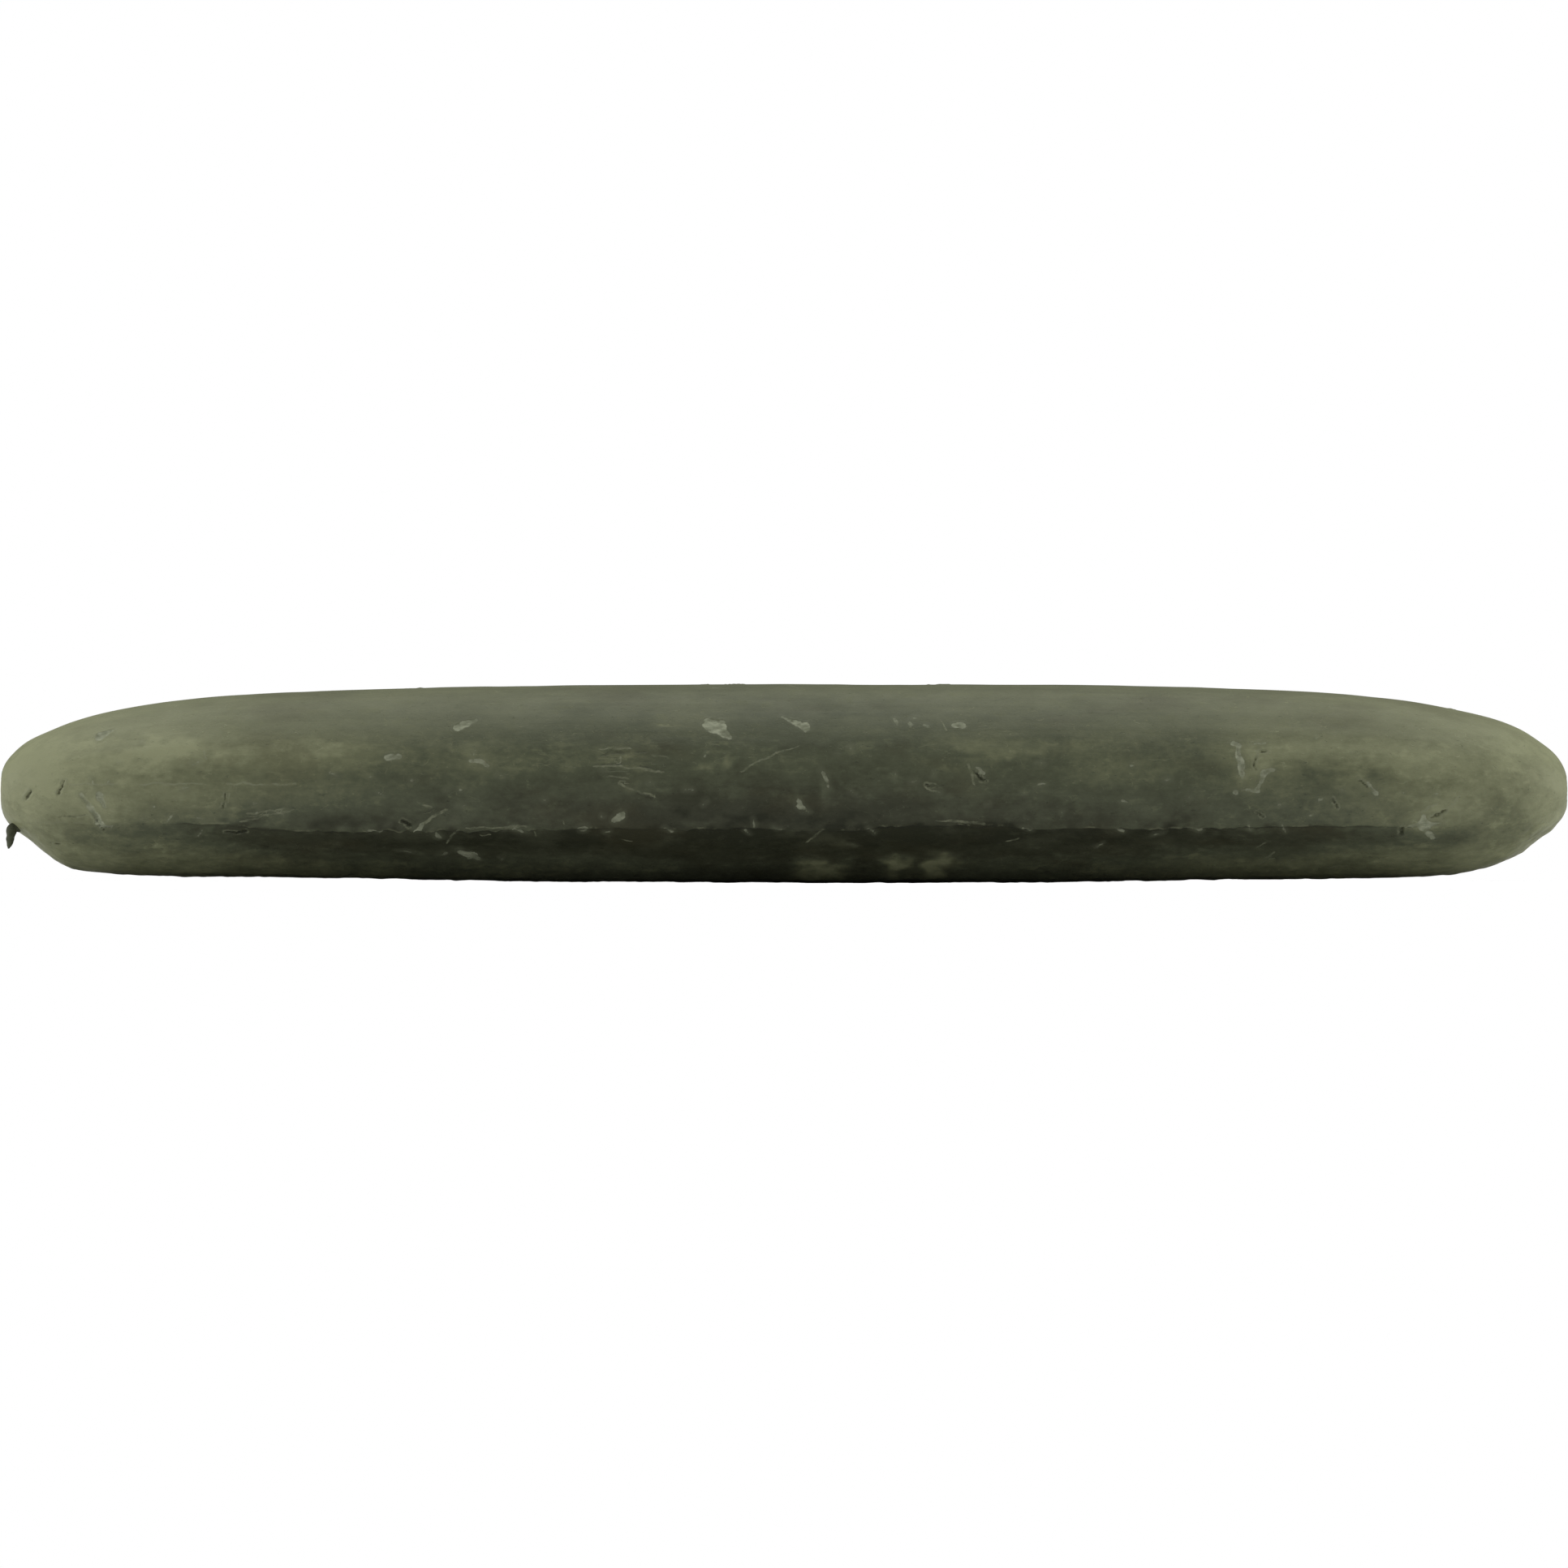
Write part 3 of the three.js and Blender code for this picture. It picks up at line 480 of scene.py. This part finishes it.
def station_rows():
    """Places along the stick, evenly spaced over its surface, from one sheet rim to the other."""
    x = np.linspace(-1, 1, 40001)
    x = HALF * np.sign(x) * (1 - (1 - np.abs(x)) ** 2)
    depth = section(x)[1]
    keep = depth >= EYE_RADIUS
    x, depth = x[keep], depth[keep]
    length = np.concatenate([[0], np.cumsum(np.hypot(np.diff(x), np.diff(depth)))])
    return np.interp(np.linspace(0, length[-1], ROWS), length, x)


def turn_columns():
    """Turns back from the free edge, closest together near the edge and on the front."""
    share = np.linspace(0, 1, COLUMNS)
    turns = np.linspace(0, 1 + OVERLAP, 4001)
    front = 0.5 + 0.5 * np.cos(2 * np.pi * (turns - 0.05))
    rim = np.exp(-np.minimum(turns, np.abs(turns - 1)) / 0.010)
    weight = 0.5 + 1.4 * front + 2.2 * rim
    total = np.concatenate([[0], np.cumsum((weight[1:] + weight[:-1]) / 2)])
    return np.interp(share * total[-1], total, turns)


# ---- Meshes ---------------------------------------------------------------------------------------

def new_object(name, points, faces, sharp_degrees=None):
    mesh = bpy.data.meshes.new(name)
    mesh.from_pydata((np.asarray(points) * MM).tolist(), [], faces)
    mesh.validate()
    mesh.update()
    mesh.polygons.foreach_set("use_smooth", [True] * len(mesh.polygons))
    if sharp_degrees:
        mesh.set_sharp_from_angle(angle=math.radians(sharp_degrees))
    made = bpy.data.objects.new(name, mesh)
    bpy.context.scene.collection.objects.link(made)
    return made


def set_attribute(target, name, values):
    layer = target.data.attributes.new(name, "FLOAT", "POINT")
    layer.data.foreach_set("value", np.asarray(values, np.float32))


def grid_faces(rows, columns, first=0, flip=False):
    r, c = np.meshgrid(np.arange(rows - 1), np.arange(columns - 1), indexing="ij")
    a = first + r * columns + c
    quads = np.stack([a, a + columns, a + columns + 1, a + 1], -1).reshape(-1, 4)
    return (quads[:, ::-1] if flip else quads).tolist()


def rim_faces(fine, coarse):
    """Triangles between a fine row of corners and a coarse one with every COARSE-th of its places."""
    faces = []
    for k in range(len(coarse) - 1):
        part = fine[k * COARSE:(k + 1) * COARSE + 1]
        half = COARSE // 2
        for i in range(COARSE):
            faces.append([part[i], part[i + 1], coarse[k] if i < half else coarse[k + 1]])
        faces.append([part[half], coarse[k + 1], coarse[k]])
    return faces


def sheet_parts():
    """Points, faces and attributes of the outer sheet, a slab with its own thickness."""
    x, turn = np.meshgrid(station_rows(), turn_columns(), indexing="ij")
    fields = wear_fields(x, turn)
    outer = skin_point(x, turn, 0 * x, fields)
    x_in, turn_in = x[::COARSE, ::COARSE], turn[::COARSE, ::COARSE]
    inner = skin_point(x_in, turn_in, SHEET * np.maximum(thinning(x_in), 0.4))
    n_out, n_in = outer.shape[:2], inner.shape[:2]
    base = n_out[0] * n_out[1]
    faces = grid_faces(*n_out) + grid_faces(*n_in, first=base, flip=True)
    out_id = np.arange(base).reshape(n_out)
    in_id = base + np.arange(n_in[0] * n_in[1]).reshape(n_in)
    rims = (
        (out_id[0], in_id[0], False), (out_id[-1], in_id[-1], True),
        (out_id[:, 0], in_id[:, 0], True), (out_id[:, -1], in_id[:, -1], False),
    )
    for fine, coarse, flip in rims:
        for face in rim_faces(fine.tolist(), coarse.tolist()):
            faces.append(face[::-1] if flip else face)
    points = np.concatenate([outer.reshape(-1, 3), inner.reshape(-1, 3)])
    values = {name: np.concatenate([field.ravel(), field[::COARSE, ::COARSE].ravel()])
              for name, field in fields.items()}
    return points, faces, values


# The torn corner hangs from the left nose: x, distance to the front, height above the axis, half
# width and half thickness of its curl from the root to the tip.
SHRED = (
    (-61.45, 1.00, -3.55, 0.30, 0.30), (-62.05, 1.25, -3.42, 0.46, 0.34),
    (-62.52, 1.42, -3.72, 0.44, 0.32), (-62.62, 1.52, -4.30, 0.33, 0.26),
    (-62.70, 1.58, -4.85, 0.24, 0.18), (-62.78, 1.60, -5.25, 0.05, 0.05),
)
SHRED_RINGS = 28
SHRED_SIDES = 16


def shred_parts():
    """Points and faces of the torn corner, a curled flap that narrows to its tip."""
    knots = np.array(SHRED)
    at = np.linspace(0, len(knots) - 1, SHRED_RINGS)
    line = np.stack([smooth_curve(range(len(knots)), column, at) for column in knots.T], -1)
    path = line[:, :3] * (1, -1, 1)
    heading = np.gradient(path, axis=0)
    heading /= np.linalg.norm(heading, axis=1)[:, None]
    across = np.cross(heading, (0, 1, 0))
    across /= np.linalg.norm(across, axis=1)[:, None]
    outward = np.cross(across, heading)
    around = np.linspace(0, 2 * np.pi, SHRED_SIDES, endpoint=False)
    ring, side = np.meshgrid(at, around, indexing="ij")
    crumple = 1 + 0.22 * noise(41, ring, side, 0.5, 0.8)
    wide = line[:, 3, None] * np.cos(side) * crumple
    thick = line[:, 4, None] * np.sin(side) * crumple + 0.35 * wide ** 2
    points = path[:, None] + wide[..., None] * across[:, None] + thick[..., None] * outward[:, None]
    points[..., 2] += AXIS_HEIGHT
    points = points.reshape(-1, 3)
    faces = []
    for r in range(SHRED_RINGS - 1):
        for s in range(SHRED_SIDES):
            a, b = r * SHRED_SIDES + s, r * SHRED_SIDES + (s + 1) % SHRED_SIDES
            faces.append([a, b, b + SHRED_SIDES, a + SHRED_SIDES])
    faces.append(list(range(SHRED_SIDES))[::-1])
    faces.append(list(range((SHRED_RINGS - 1) * SHRED_SIDES, SHRED_RINGS * SHRED_SIDES)))
    return points, faces


def make_sheet():
    points, faces, values = sheet_parts()
    shred_points, shred_faces = shred_parts()
    first, extra = len(points), len(shred_points)
    faces += [[first + corner for corner in face] for face in shred_faces]
    sheet = new_object("burnished_outer_sheet", np.concatenate([points, shred_points]), faces, 42)
    clean = {"soil_and_painted_shade": 0.62, "patches_and_painted_light": 0, "edge": 5, "light_across": 3, "dark_across": 3}
    for name, field in values.items():
        set_attribute(sheet, name, np.concatenate([field, np.full(extra, clean.get(name, -1.0))]))
    return sheet


ROLL_RINGS = 34  # over each worn end, from its middle outwards
ROLL_SIDES = 120
ROLL_RADIUS = 1.95
PAPER_TURN = 0.40  # pitch of the turns that the end shows


def roll_ring(first, k):
    """Corners of ring k of the worn end whose tip is the corner called first."""
    return [first + 1 + k * ROLL_SIDES + s for s in range(ROLL_SIDES)]


def make_roll():
    """The starter roll: a shaft with a worn dome at each end, where the edges of its turns show."""
    radius = ROLL_RADIUS * np.linspace(0, 1, ROLL_RINGS + 1)[1:]
    angle = np.linspace(0, 2 * np.pi, ROLL_SIDES, endpoint=False)
    r, a = np.meshgrid(radius, angle, indexing="ij")
    points, faces, groove_values = [], [], []
    for side, seed in ((-1, 51), (1, 61)):
        turn = r / PAPER_TURN - side * a / (2 * np.pi)
        turn = turn + 0.10 * noise(seed, a, r, 0.9, 0.6)
        groove = np.abs(turn - np.round(turn)) * 2
        groove = 1 - smooth(0.02, 0.34, groove)
        pin = np.exp(-(r / 0.16) ** 2)
        worn = 0.05 * noise(seed + 1, r * np.cos(a), r * np.sin(a), 0.5, 0.5)
        back = 0.07 + 0.085 * r ** 2 + 0.09 * groove + 0.45 * pin - worn
        x = side * (HALF - back)
        middle = from_end(SECTION, 1, x) - SINK
        shape = np.stack([x, side * r * np.cos(a), r * np.sin(a) + middle + AXIS_HEIGHT], -1)
        tip = np.array([[side * (HALF - 0.60), 0, SECTION[0][1] + AXIS_HEIGHT]])
        first = len(points)
        points += tip.tolist() + shape.reshape(-1, 3).tolist()
        groove_values += [1.0] + np.maximum(groove, pin).ravel().tolist()
        inner = roll_ring(first, 0)
        for s in range(ROLL_SIDES):
            faces.append([first, inner[s], inner[(s + 1) % ROLL_SIDES]])
        for k in range(ROLL_RINGS - 1):
            near, far = roll_ring(first, k), roll_ring(first, k + 1)
            for s in range(ROLL_SIDES):
                t = (s + 1) % ROLL_SIDES
                faces.append([near[s], far[s], far[t], near[t]])
    block = 1 + ROLL_RINGS * ROLL_SIDES
    left, right = roll_ring(0, ROLL_RINGS - 1), roll_ring(block, ROLL_RINGS - 1)
    for s in range(ROLL_SIDES):
        t = (s + 1) % ROLL_SIDES
        mirrored, mirrored_next = (ROLL_SIDES // 2 - s) % ROLL_SIDES, (ROLL_SIDES // 2 - t) % ROLL_SIDES
        faces.append([left[s], left[t], right[mirrored_next], right[mirrored]][::-1])
    roll = new_object("worn_starter_roll", points, faces, 60)
    set_attribute(roll, "groove", groove_values)
    return roll


# ---- Materials ------------------------------------------------------------------------------------

def srgb(r, g, b):
    """Linear colour of an 8-bit sRGB colour."""
    part = [c / 255 for c in (r, g, b)]
    return tuple(c / 12.92 if c <= 0.04045 else ((c + 0.055) / 1.055) ** 2.4 for c in part) + (1.0,)


class Nodes:
    """A new material's node tree, with short calls for the nodes that the finishes share."""

    def __init__(self, name, roughness, specular=0.5):
        self.material = bpy.data.materials.new(name)
        self.material.use_nodes = True
        self.tree = self.material.node_tree
        self.shader = self.tree.nodes["Principled BSDF"]
        self.shader.inputs["Roughness"].default_value = roughness
        self.shader.inputs["Specular IOR Level"].default_value = specular
        self.place = self.node("ShaderNodeTexCoord").outputs["Object"]

    def node(self, kind, **settings):
        made = self.tree.nodes.new(kind)
        for key, value in settings.items():
            setattr(made, key, value)
        return made

    def put(self, socket, value):
        if isinstance(value, bpy.types.NodeSocket):
            self.tree.links.new(value, socket)
        else:
            socket.default_value = value

    def math(self, operation, *values, clamp=False):
        made = self.node("ShaderNodeMath", operation=operation, use_clamp=clamp)
        for socket, value in zip(made.inputs, values):
            self.put(socket, value)
        return made.outputs[0]

    def attribute(self, name):
        return self.node("ShaderNodeAttribute", attribute_name=name).outputs["Fac"]

    def noise(self, cell, detail=3.0, roughness=0.55, offset=0.0):
        """Noise about zero, mostly from -0.6 to 0.6. cell is its grain's size in mm along x, y and z."""
        mapping = self.node("ShaderNodeMapping")
        self.put(mapping.inputs["Vector"], self.place)
        mapping.inputs["Scale"].default_value = [1 / (MM * size) for size in cell]
        mapping.inputs["Location"].default_value = (offset, offset, offset)
        texture = self.node("ShaderNodeTexNoise")
        self.put(texture.inputs["Vector"], mapping.outputs[0])
        texture.inputs["Scale"].default_value = 1.0
        texture.inputs["Detail"].default_value = detail
        texture.inputs["Roughness"].default_value = roughness
        return self.math("MULTIPLY_ADD", texture.outputs["Fac"], 4.0, -2.0)

    def step(self, value, low, high):
        """0 at low and 1 at high, smooth between and level outside. low may be the larger."""
        made = self.node("ShaderNodeMapRange", interpolation_type="SMOOTHSTEP")
        self.put(made.inputs["Value"], value)
        made.inputs["From Min"].default_value = low
        made.inputs["From Max"].default_value = high
        return made.outputs[0]

    def mix(self, share, first, second):
        made = self.node("ShaderNodeMix", data_type="RGBA")
        self.put(made.inputs["Factor"], share)
        self.put(made.inputs[6], first)
        self.put(made.inputs[7], second)
        return made.outputs[2]

    def ramp(self, value, stops):
        made = self.node("ShaderNodeValToRGB")
        self.put(made.inputs[0], value)
        elements = made.color_ramp.elements
        while len(elements) < len(stops):
            elements.new(0.5)
        for element, (place, colour) in zip(elements, stops):
            element.position = place
            element.color = colour
        return made.outputs[0]

    def finish(self, colour, roughness, height, depth_mm):
        self.put(self.shader.inputs["Base Color"], colour)
        self.put(self.shader.inputs["Roughness"], roughness)
        bump = self.node("ShaderNodeBump")
        bump.inputs["Distance"].default_value = depth_mm * MM
        bump.inputs["Strength"].default_value = 1.0
        self.put(bump.inputs["Height"], height)
        self.put(self.shader.inputs["Normal"], bump.outputs[0])
        return self.material


def line_mask(n, name, ragged, broken):
    """1 on a family of fine lines, 0 off them and where they are rubbed out."""
    across = n.math("ABSOLUTE", n.math("MULTIPLY_ADD", ragged, 0.035, n.attribute(name + "_across")))
    inside = n.math("SUBTRACT", n.attribute(name + "_width"), across)
    return n.math("MULTIPLY", n.step(inside, -0.05, 0.05), n.step(broken, -1.0, 0.8))


def wisps(n, cell, offset, width, seldom):
    """Thin curling lines, as old scratches leave, in scattered places."""
    line = n.math("ABSOLUTE", n.noise(cell, 2, 0.5, offset))
    place = n.noise([size * 0.8 for size in cell], 3, 0.6, offset + 31.0)
    return n.math("MULTIPLY", n.step(line, width, 0.0), n.step(place, seldom, seldom + 0.5))


def burnished_paper():
    """Stiff grey-olive paper, rubbed smooth and dark with graphite, chipped and scratched; its tone also
    carries painted light and shade.
    """
    n = Nodes("burnished_paper", 0.55, specular=0.16)
    cloud = n.noise((9, 4, 4), 3, 0.55)
    patch = n.noise((3.0, 2.0, 2.0), 4, 0.55, 5.0)
    streak = n.noise((14, 0.6, 0.6), 3, 0.55, 9.0)
    grain = n.noise((0.7, 0.45, 0.45), 3, 0.55, 13.0)
    fine = n.noise((0.22, 0.13, 0.13), 2, 0.5, 17.0)
    scuff = n.step(n.noise((1.9, 1.1, 1.1), 5, 0.62, 43.0), 0.18, 0.70)
    smear = n.step(n.noise((5.0, 1.1, 1.1), 4, 0.60, 47.0), 0.15, 0.90)
    fleck = n.step(n.noise((0.50, 0.28, 0.28), 3, 0.6, 53.0), 0.62, 0.85)
    pit = n.step(n.noise((0.55, 0.26, 0.26), 3, 0.6, 59.0), 0.65, 0.9)
    hairline = wisps(n, (5.0, 1.6, 1.6), 61.0, 0.022, 0.05)
    curl = wisps(n, (1.6, 1.3, 1.3), 67.0, 0.035, 0.25)
    chips = n.math("MULTIPLY_ADD", grain, 0.09, n.attribute("chips"))
    cuts = n.math("MULTIPLY_ADD", fine, 0.06, n.attribute("cuts"))
    bare = n.step(chips, -0.05, 0.06)
    large = n.step(n.attribute("chip_size"), 0.05, 0.4)
    bare = n.math("MULTIPLY", bare, n.math("MULTIPLY_ADD", large, 0.55, 0.45))
    nicked = n.step(cuts, -0.05, 0.09)
    raised = n.math("MULTIPLY", n.step(cuts, -0.30, -0.12), n.step(cuts, -0.02, -0.10))
    raised = n.math("MULTIPLY", raised, n.step(grain, -0.3, 0.4))
    light = line_mask(n, "light", fine, grain)
    dark = line_mask(n, "dark", fine, grain)
    edge = n.math("MULTIPLY_ADD", grain, 0.05, n.attribute("edge"))
    # A painted shadow in the narrow band just below the sheet's free edge.
    painted_edge_shadow = n.math("MULTIPLY", n.step(edge, -0.42, -0.02), n.step(edge, 0.06, -0.03))
    along_edge = n.noise((1.7, 40, 40), 3, 0.7, 21.0)
    # A paler band along the lip of the free edge, broken along its length: frayed paper and a painted
    # highlight where the edge catches light.
    rim = n.math("MULTIPLY", n.step(edge, -0.04, 0.03), n.step(edge, 0.26, 0.08))
    rim = n.math("MULTIPLY", rim, n.step(along_edge, 0.0, 0.45))
    soil_and_painted_shade = n.attribute("soil_and_painted_shade")
    for part, weight in (
        (cloud, 0.060), (streak, 0.022), (fine, 0.020), (fleck, -0.10), (hairline, -0.14), (curl, -0.16),
    ):
        soil_and_painted_shade = n.math("MULTIPLY_ADD", part, weight, soil_and_painted_shade)
    scuffed = n.attribute("scuffed")
    for part, weight in (
        (patch, 0.115), (grain, 0.060), (scuff, -0.10), (smear, -0.08), (pit, 0.10),
    ):
        part = n.math("MULTIPLY", part, scuffed)
        soil_and_painted_shade = n.math("MULTIPLY_ADD", part, weight, soil_and_painted_shade)
    soil_and_painted_shade = n.math("MULTIPLY_ADD", scuffed, 0.05, soil_and_painted_shade)
    # Soft patches, partly the skin's own and partly painted light and shade.
    patches_and_painted_light = n.math("MULTIPLY", n.attribute("patches_and_painted_light"), n.math("MULTIPLY_ADD", patch, 1.1, 1.0))
    soil_and_painted_shade = n.math("MULTIPLY_ADD", patches_and_painted_light, -0.45, soil_and_painted_shade)
    # Colour from the tone, painted light and shade included: pale where it is low, dark where it is high.
    colour = n.ramp(soil_and_painted_shade, (
        (0.00, srgb(131, 134, 104)), (0.30, srgb(100, 103, 78)), (0.52, srgb(73, 77, 59)),
        (0.74, srgb(54, 56, 41)), (1.00, srgb(33, 35, 21)),
    ))
    colour = n.mix(n.math("MULTIPLY", n.step(cloud, 0.1, 0.8), 0.15), colour, srgb(77, 72, 50))
    colour = n.mix(n.math("MULTIPLY", n.step(chips, -0.45, -0.05), 0.20), colour, srgb(96, 99, 80))
    colour = n.mix(n.math("MULTIPLY", raised, 0.45), colour, srgb(118, 121, 98))
    # Frayed paper and painted highlight on the lip of the free edge.
    colour = n.mix(n.math("MULTIPLY", rim, 0.45), colour, srgb(104, 106, 84))
    colour = n.mix(n.math("MULTIPLY", light, 0.62), colour, srgb(124, 127, 104))
    paper = n.mix(n.step(grain, -0.8, 0.9), srgb(106, 110, 90), srgb(150, 154, 132))
    colour = n.mix(n.math("MULTIPLY", bare, 0.92), colour, paper)
    colour = n.mix(n.math("MULTIPLY", dark, 0.45), colour, srgb(34, 36, 26))
    # Painted shadow under the free edge, weaker where the tone is pale, as at the noses.
    colour = n.mix(n.math("MULTIPLY", painted_edge_shadow, n.step(soil_and_painted_shade, 0.3, 1.1)), colour, srgb(29, 30, 21))
    colour = n.mix(n.math("MULTIPLY", nicked, 0.62), colour, srgb(30, 31, 22))
    roughness = n.math("MULTIPLY_ADD", patch, 0.05, 0.52)
    roughness = n.math("MULTIPLY_ADD", scuff, 0.08, roughness)
    roughness = n.math("MULTIPLY_ADD", bare, 0.28, roughness)
    roughness = n.math("MULTIPLY_ADD", light, 0.18, roughness)
    roughness = n.math("MULTIPLY_ADD", nicked, 0.30, roughness, clamp=True)
    height = n.math("MULTIPLY", fine, 0.08)
    for part, weight in (
        (grain, 0.16), (streak, 0.12), (patch, 0.30), (scuff, 0.12), (fleck, 0.35), (pit, -0.6),
        (hairline, -0.25), (curl, 0.4), (light, 0.5), (dark, -0.9), (nicked, -1.2), (bare, -0.5),
    ):
        height = n.math("MULTIPLY_ADD", part, weight, height)
    return n.finish(colour, roughness, height, 0.04)


def filling_paper(name, groove=None):
    """Soft grey rolled paper with fibres, darker in the grooves between the turns where a groove attribute
    is given.
    """
    n = Nodes(name, 0.85, specular=0.3)
    fibre = n.noise((2.2, 0.35, 0.35), 4, 0.65)
    patch = n.noise((1.1, 1.1, 1.1), 3, 0.55, 3.0)
    speck = n.noise((0.16, 0.16, 0.16), 2, 0.5, 7.0)
    tone = n.math("MULTIPLY_ADD", fibre, 0.12, n.math("MULTIPLY_ADD", patch, 0.16, 0.45))
    colour = n.ramp(tone, (
        (0.0, srgb(88, 90, 70)), (0.5, srgb(128, 130, 103)), (1.0, srgb(152, 154, 126)),
    ))
    colour = n.mix(n.math("MULTIPLY", n.step(speck, 0.7, 1.2), 0.4), colour, srgb(58, 58, 46))
    height = n.math("MULTIPLY_ADD", fibre, 0.3, n.math("MULTIPLY", speck, 0.2))
    if groove:
        # Darker in the grooves between the turns and in the hole at the middle of the end.
        depth = n.attribute(groove)
        colour = n.mix(n.math("MULTIPLY", depth, 0.48), colour, srgb(44, 44, 33))
        height = n.math("MULTIPLY_ADD", depth, -0.6, height)
    roughness = n.math("MULTIPLY_ADD", patch, 0.05, 0.84, clamp=True)
    return n.finish(colour, roughness, height, 0.04)


def dried_paste():
    """Dried glue: brownish, a little glossy, with fine crazing."""
    n = Nodes("dried_paste", 0.4, specular=0.5)
    patch = n.noise((2.4, 0.8, 0.8), 3, 0.6)
    speck = n.noise((0.25, 0.25, 0.25), 2, 0.5, 5.0)
    tone = n.math("MULTIPLY_ADD", patch, 0.22, 0.5)
    colour = n.ramp(tone, ((0.0, srgb(52, 46, 30)), (0.5, srgb(78, 70, 48)), (1.0, srgb(104, 94, 66))))
    colour = n.mix(n.math("MULTIPLY", n.step(speck, 0.5, 1.1), 0.4), colour, srgb(44, 42, 30))
    roughness = n.math("MULTIPLY_ADD", patch, 0.10, 0.45, clamp=True)
    return n.finish(colour, roughness, n.math("MULTIPLY", speck, 0.5), 0.02)


def floor_finish():
    n = Nodes("pale_floor", 0.9, specular=0.0)
    n.shader.inputs["Base Color"].default_value = (FLOOR_SHADE, FLOOR_SHADE, FLOOR_SHADE, 1)
    return n.material


# ---- Camera, floor and lights ---------------------------------------------------------------------

CAMERA_DISTANCE = 1.0  # in metres, as are all the sizes here
CAMERA_HEIGHT = 0.0003
PICTURE_WIDTH = 1.001036 * 2 * HALF * MM  # the stick all but fills the picture
FLOOR_HALF_SIZE = 1.3
FLOOR_SHADE = 0.98
SKY_SHADE = 0.15  # of the light that comes evenly from all round
SUN_STRENGTH = 2.55
SUN_SPREAD = math.radians(70)
SIDE_POWER = 9.0
SIDE_SIZE = 0.9
SIDE_PLACE = (1.3, 0.28)  # distance from the middle and height
SIDE_TILT = 78  # degrees from straight down


def make_camera():
    """A long lens almost level with the surface that the stick lies on, aimed at the stick's axis."""
    data = bpy.data.cameras.new("camera")
    data.sensor_width = 36
    data.lens = data.sensor_width * CAMERA_DISTANCE / PICTURE_WIDTH
    data.clip_start = 0.4
    camera = bpy.data.objects.new("camera", data)
    camera.location = (0, -CAMERA_DISTANCE, CAMERA_HEIGHT)
    upward = math.atan2(AXIS_HEIGHT * MM - CAMERA_HEIGHT, CAMERA_DISTANCE)
    camera.rotation_euler = (math.pi / 2 + upward, 0, 0)
    bpy.context.scene.collection.objects.link(camera)
    bpy.context.scene.camera = camera


def make_floor():
    size = FLOOR_HALF_SIZE
    mesh = bpy.data.meshes.new("floor")
    corners = [(-size, -size, 0), (size, -size, 0), (size, size, 0), (-size, size, 0)]
    mesh.from_pydata(corners, [], [(0, 1, 2, 3)])
    floor = bpy.data.objects.new("floor", mesh)
    mesh.materials.append(floor_finish())
    bpy.context.scene.collection.objects.link(floor)


def add_light(name, kind, location, rotation, energy, **settings):
    data = bpy.data.lights.new(name, kind)
    data.energy = energy
    for key, value in settings.items():
        setattr(data, key, value)
    light = bpy.data.objects.new(name, data)
    light.location = location
    light.rotation_euler = [math.radians(a) for a in rotation]
    light.visible_camera = False
    bpy.context.scene.collection.objects.link(light)


def make_light():
    add_light("top", "SUN", (0, 0, 1), (0, 0, 0), SUN_STRENGTH, angle=SUN_SPREAD)
    for name, side in (("left", -1), ("right", 1)):
        where, tilt = (side * SIDE_PLACE[0], 0, SIDE_PLACE[1]), (0, side * SIDE_TILT, 0)
        add_light(name, "AREA", where, tilt, SIDE_POWER, size=SIDE_SIZE, shape="SQUARE")
    world = bpy.data.worlds.new("studio")
    world.use_nodes = True
    tree = world.node_tree
    background = tree.nodes["Background"]
    background.inputs["Color"].default_value = (SKY_SHADE, SKY_SHADE, SKY_SHADE, 1)
    bright = tree.nodes.new("ShaderNodeBackground")
    bright.inputs["Color"].default_value = (1, 1, 1, 1)
    path = tree.nodes.new("ShaderNodeLightPath")
    mix = tree.nodes.new("ShaderNodeMixShader")
    tree.links.new(path.outputs["Is Camera Ray"], mix.inputs[0])
    tree.links.new(background.outputs[0], mix.inputs[1])
    tree.links.new(bright.outputs[0], mix.inputs[2])
    tree.links.new(mix.outputs[0], tree.nodes["World Output"].inputs["Surface"])
    bpy.context.scene.world = world
    bpy.context.scene.view_settings.view_transform = "Standard"


# ---- Assembly -------------------------------------------------------------------------------------

def place(piece, material, node, slot):
    """Gives a piece its finish, and lets it stand for its CAD node."""
    piece.data.materials.append(material)
    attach(piece, BODY)
    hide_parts(node)


make_camera()
make_floor()
make_light()

place(make_sheet(), burnished_paper(), "outer_sheet", "burnished_paper")
place(make_roll(), filling_paper("rolled_paper_end", "groove"), "starter_roll", "filling_paper")

strip_paper, paste = filling_paper("filling_paper"), dried_paste()
for node, material in (
    ("inner_strip", strip_paper), ("middle_strip", strip_paper), ("starter_splice_paste", paste),
    ("inner_splice_paste", paste), ("outer_head_paste", paste), ("lap_paste", paste),
):
    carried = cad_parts[node]
    carried.data.materials.clear()
    carried.data.materials.append(material)
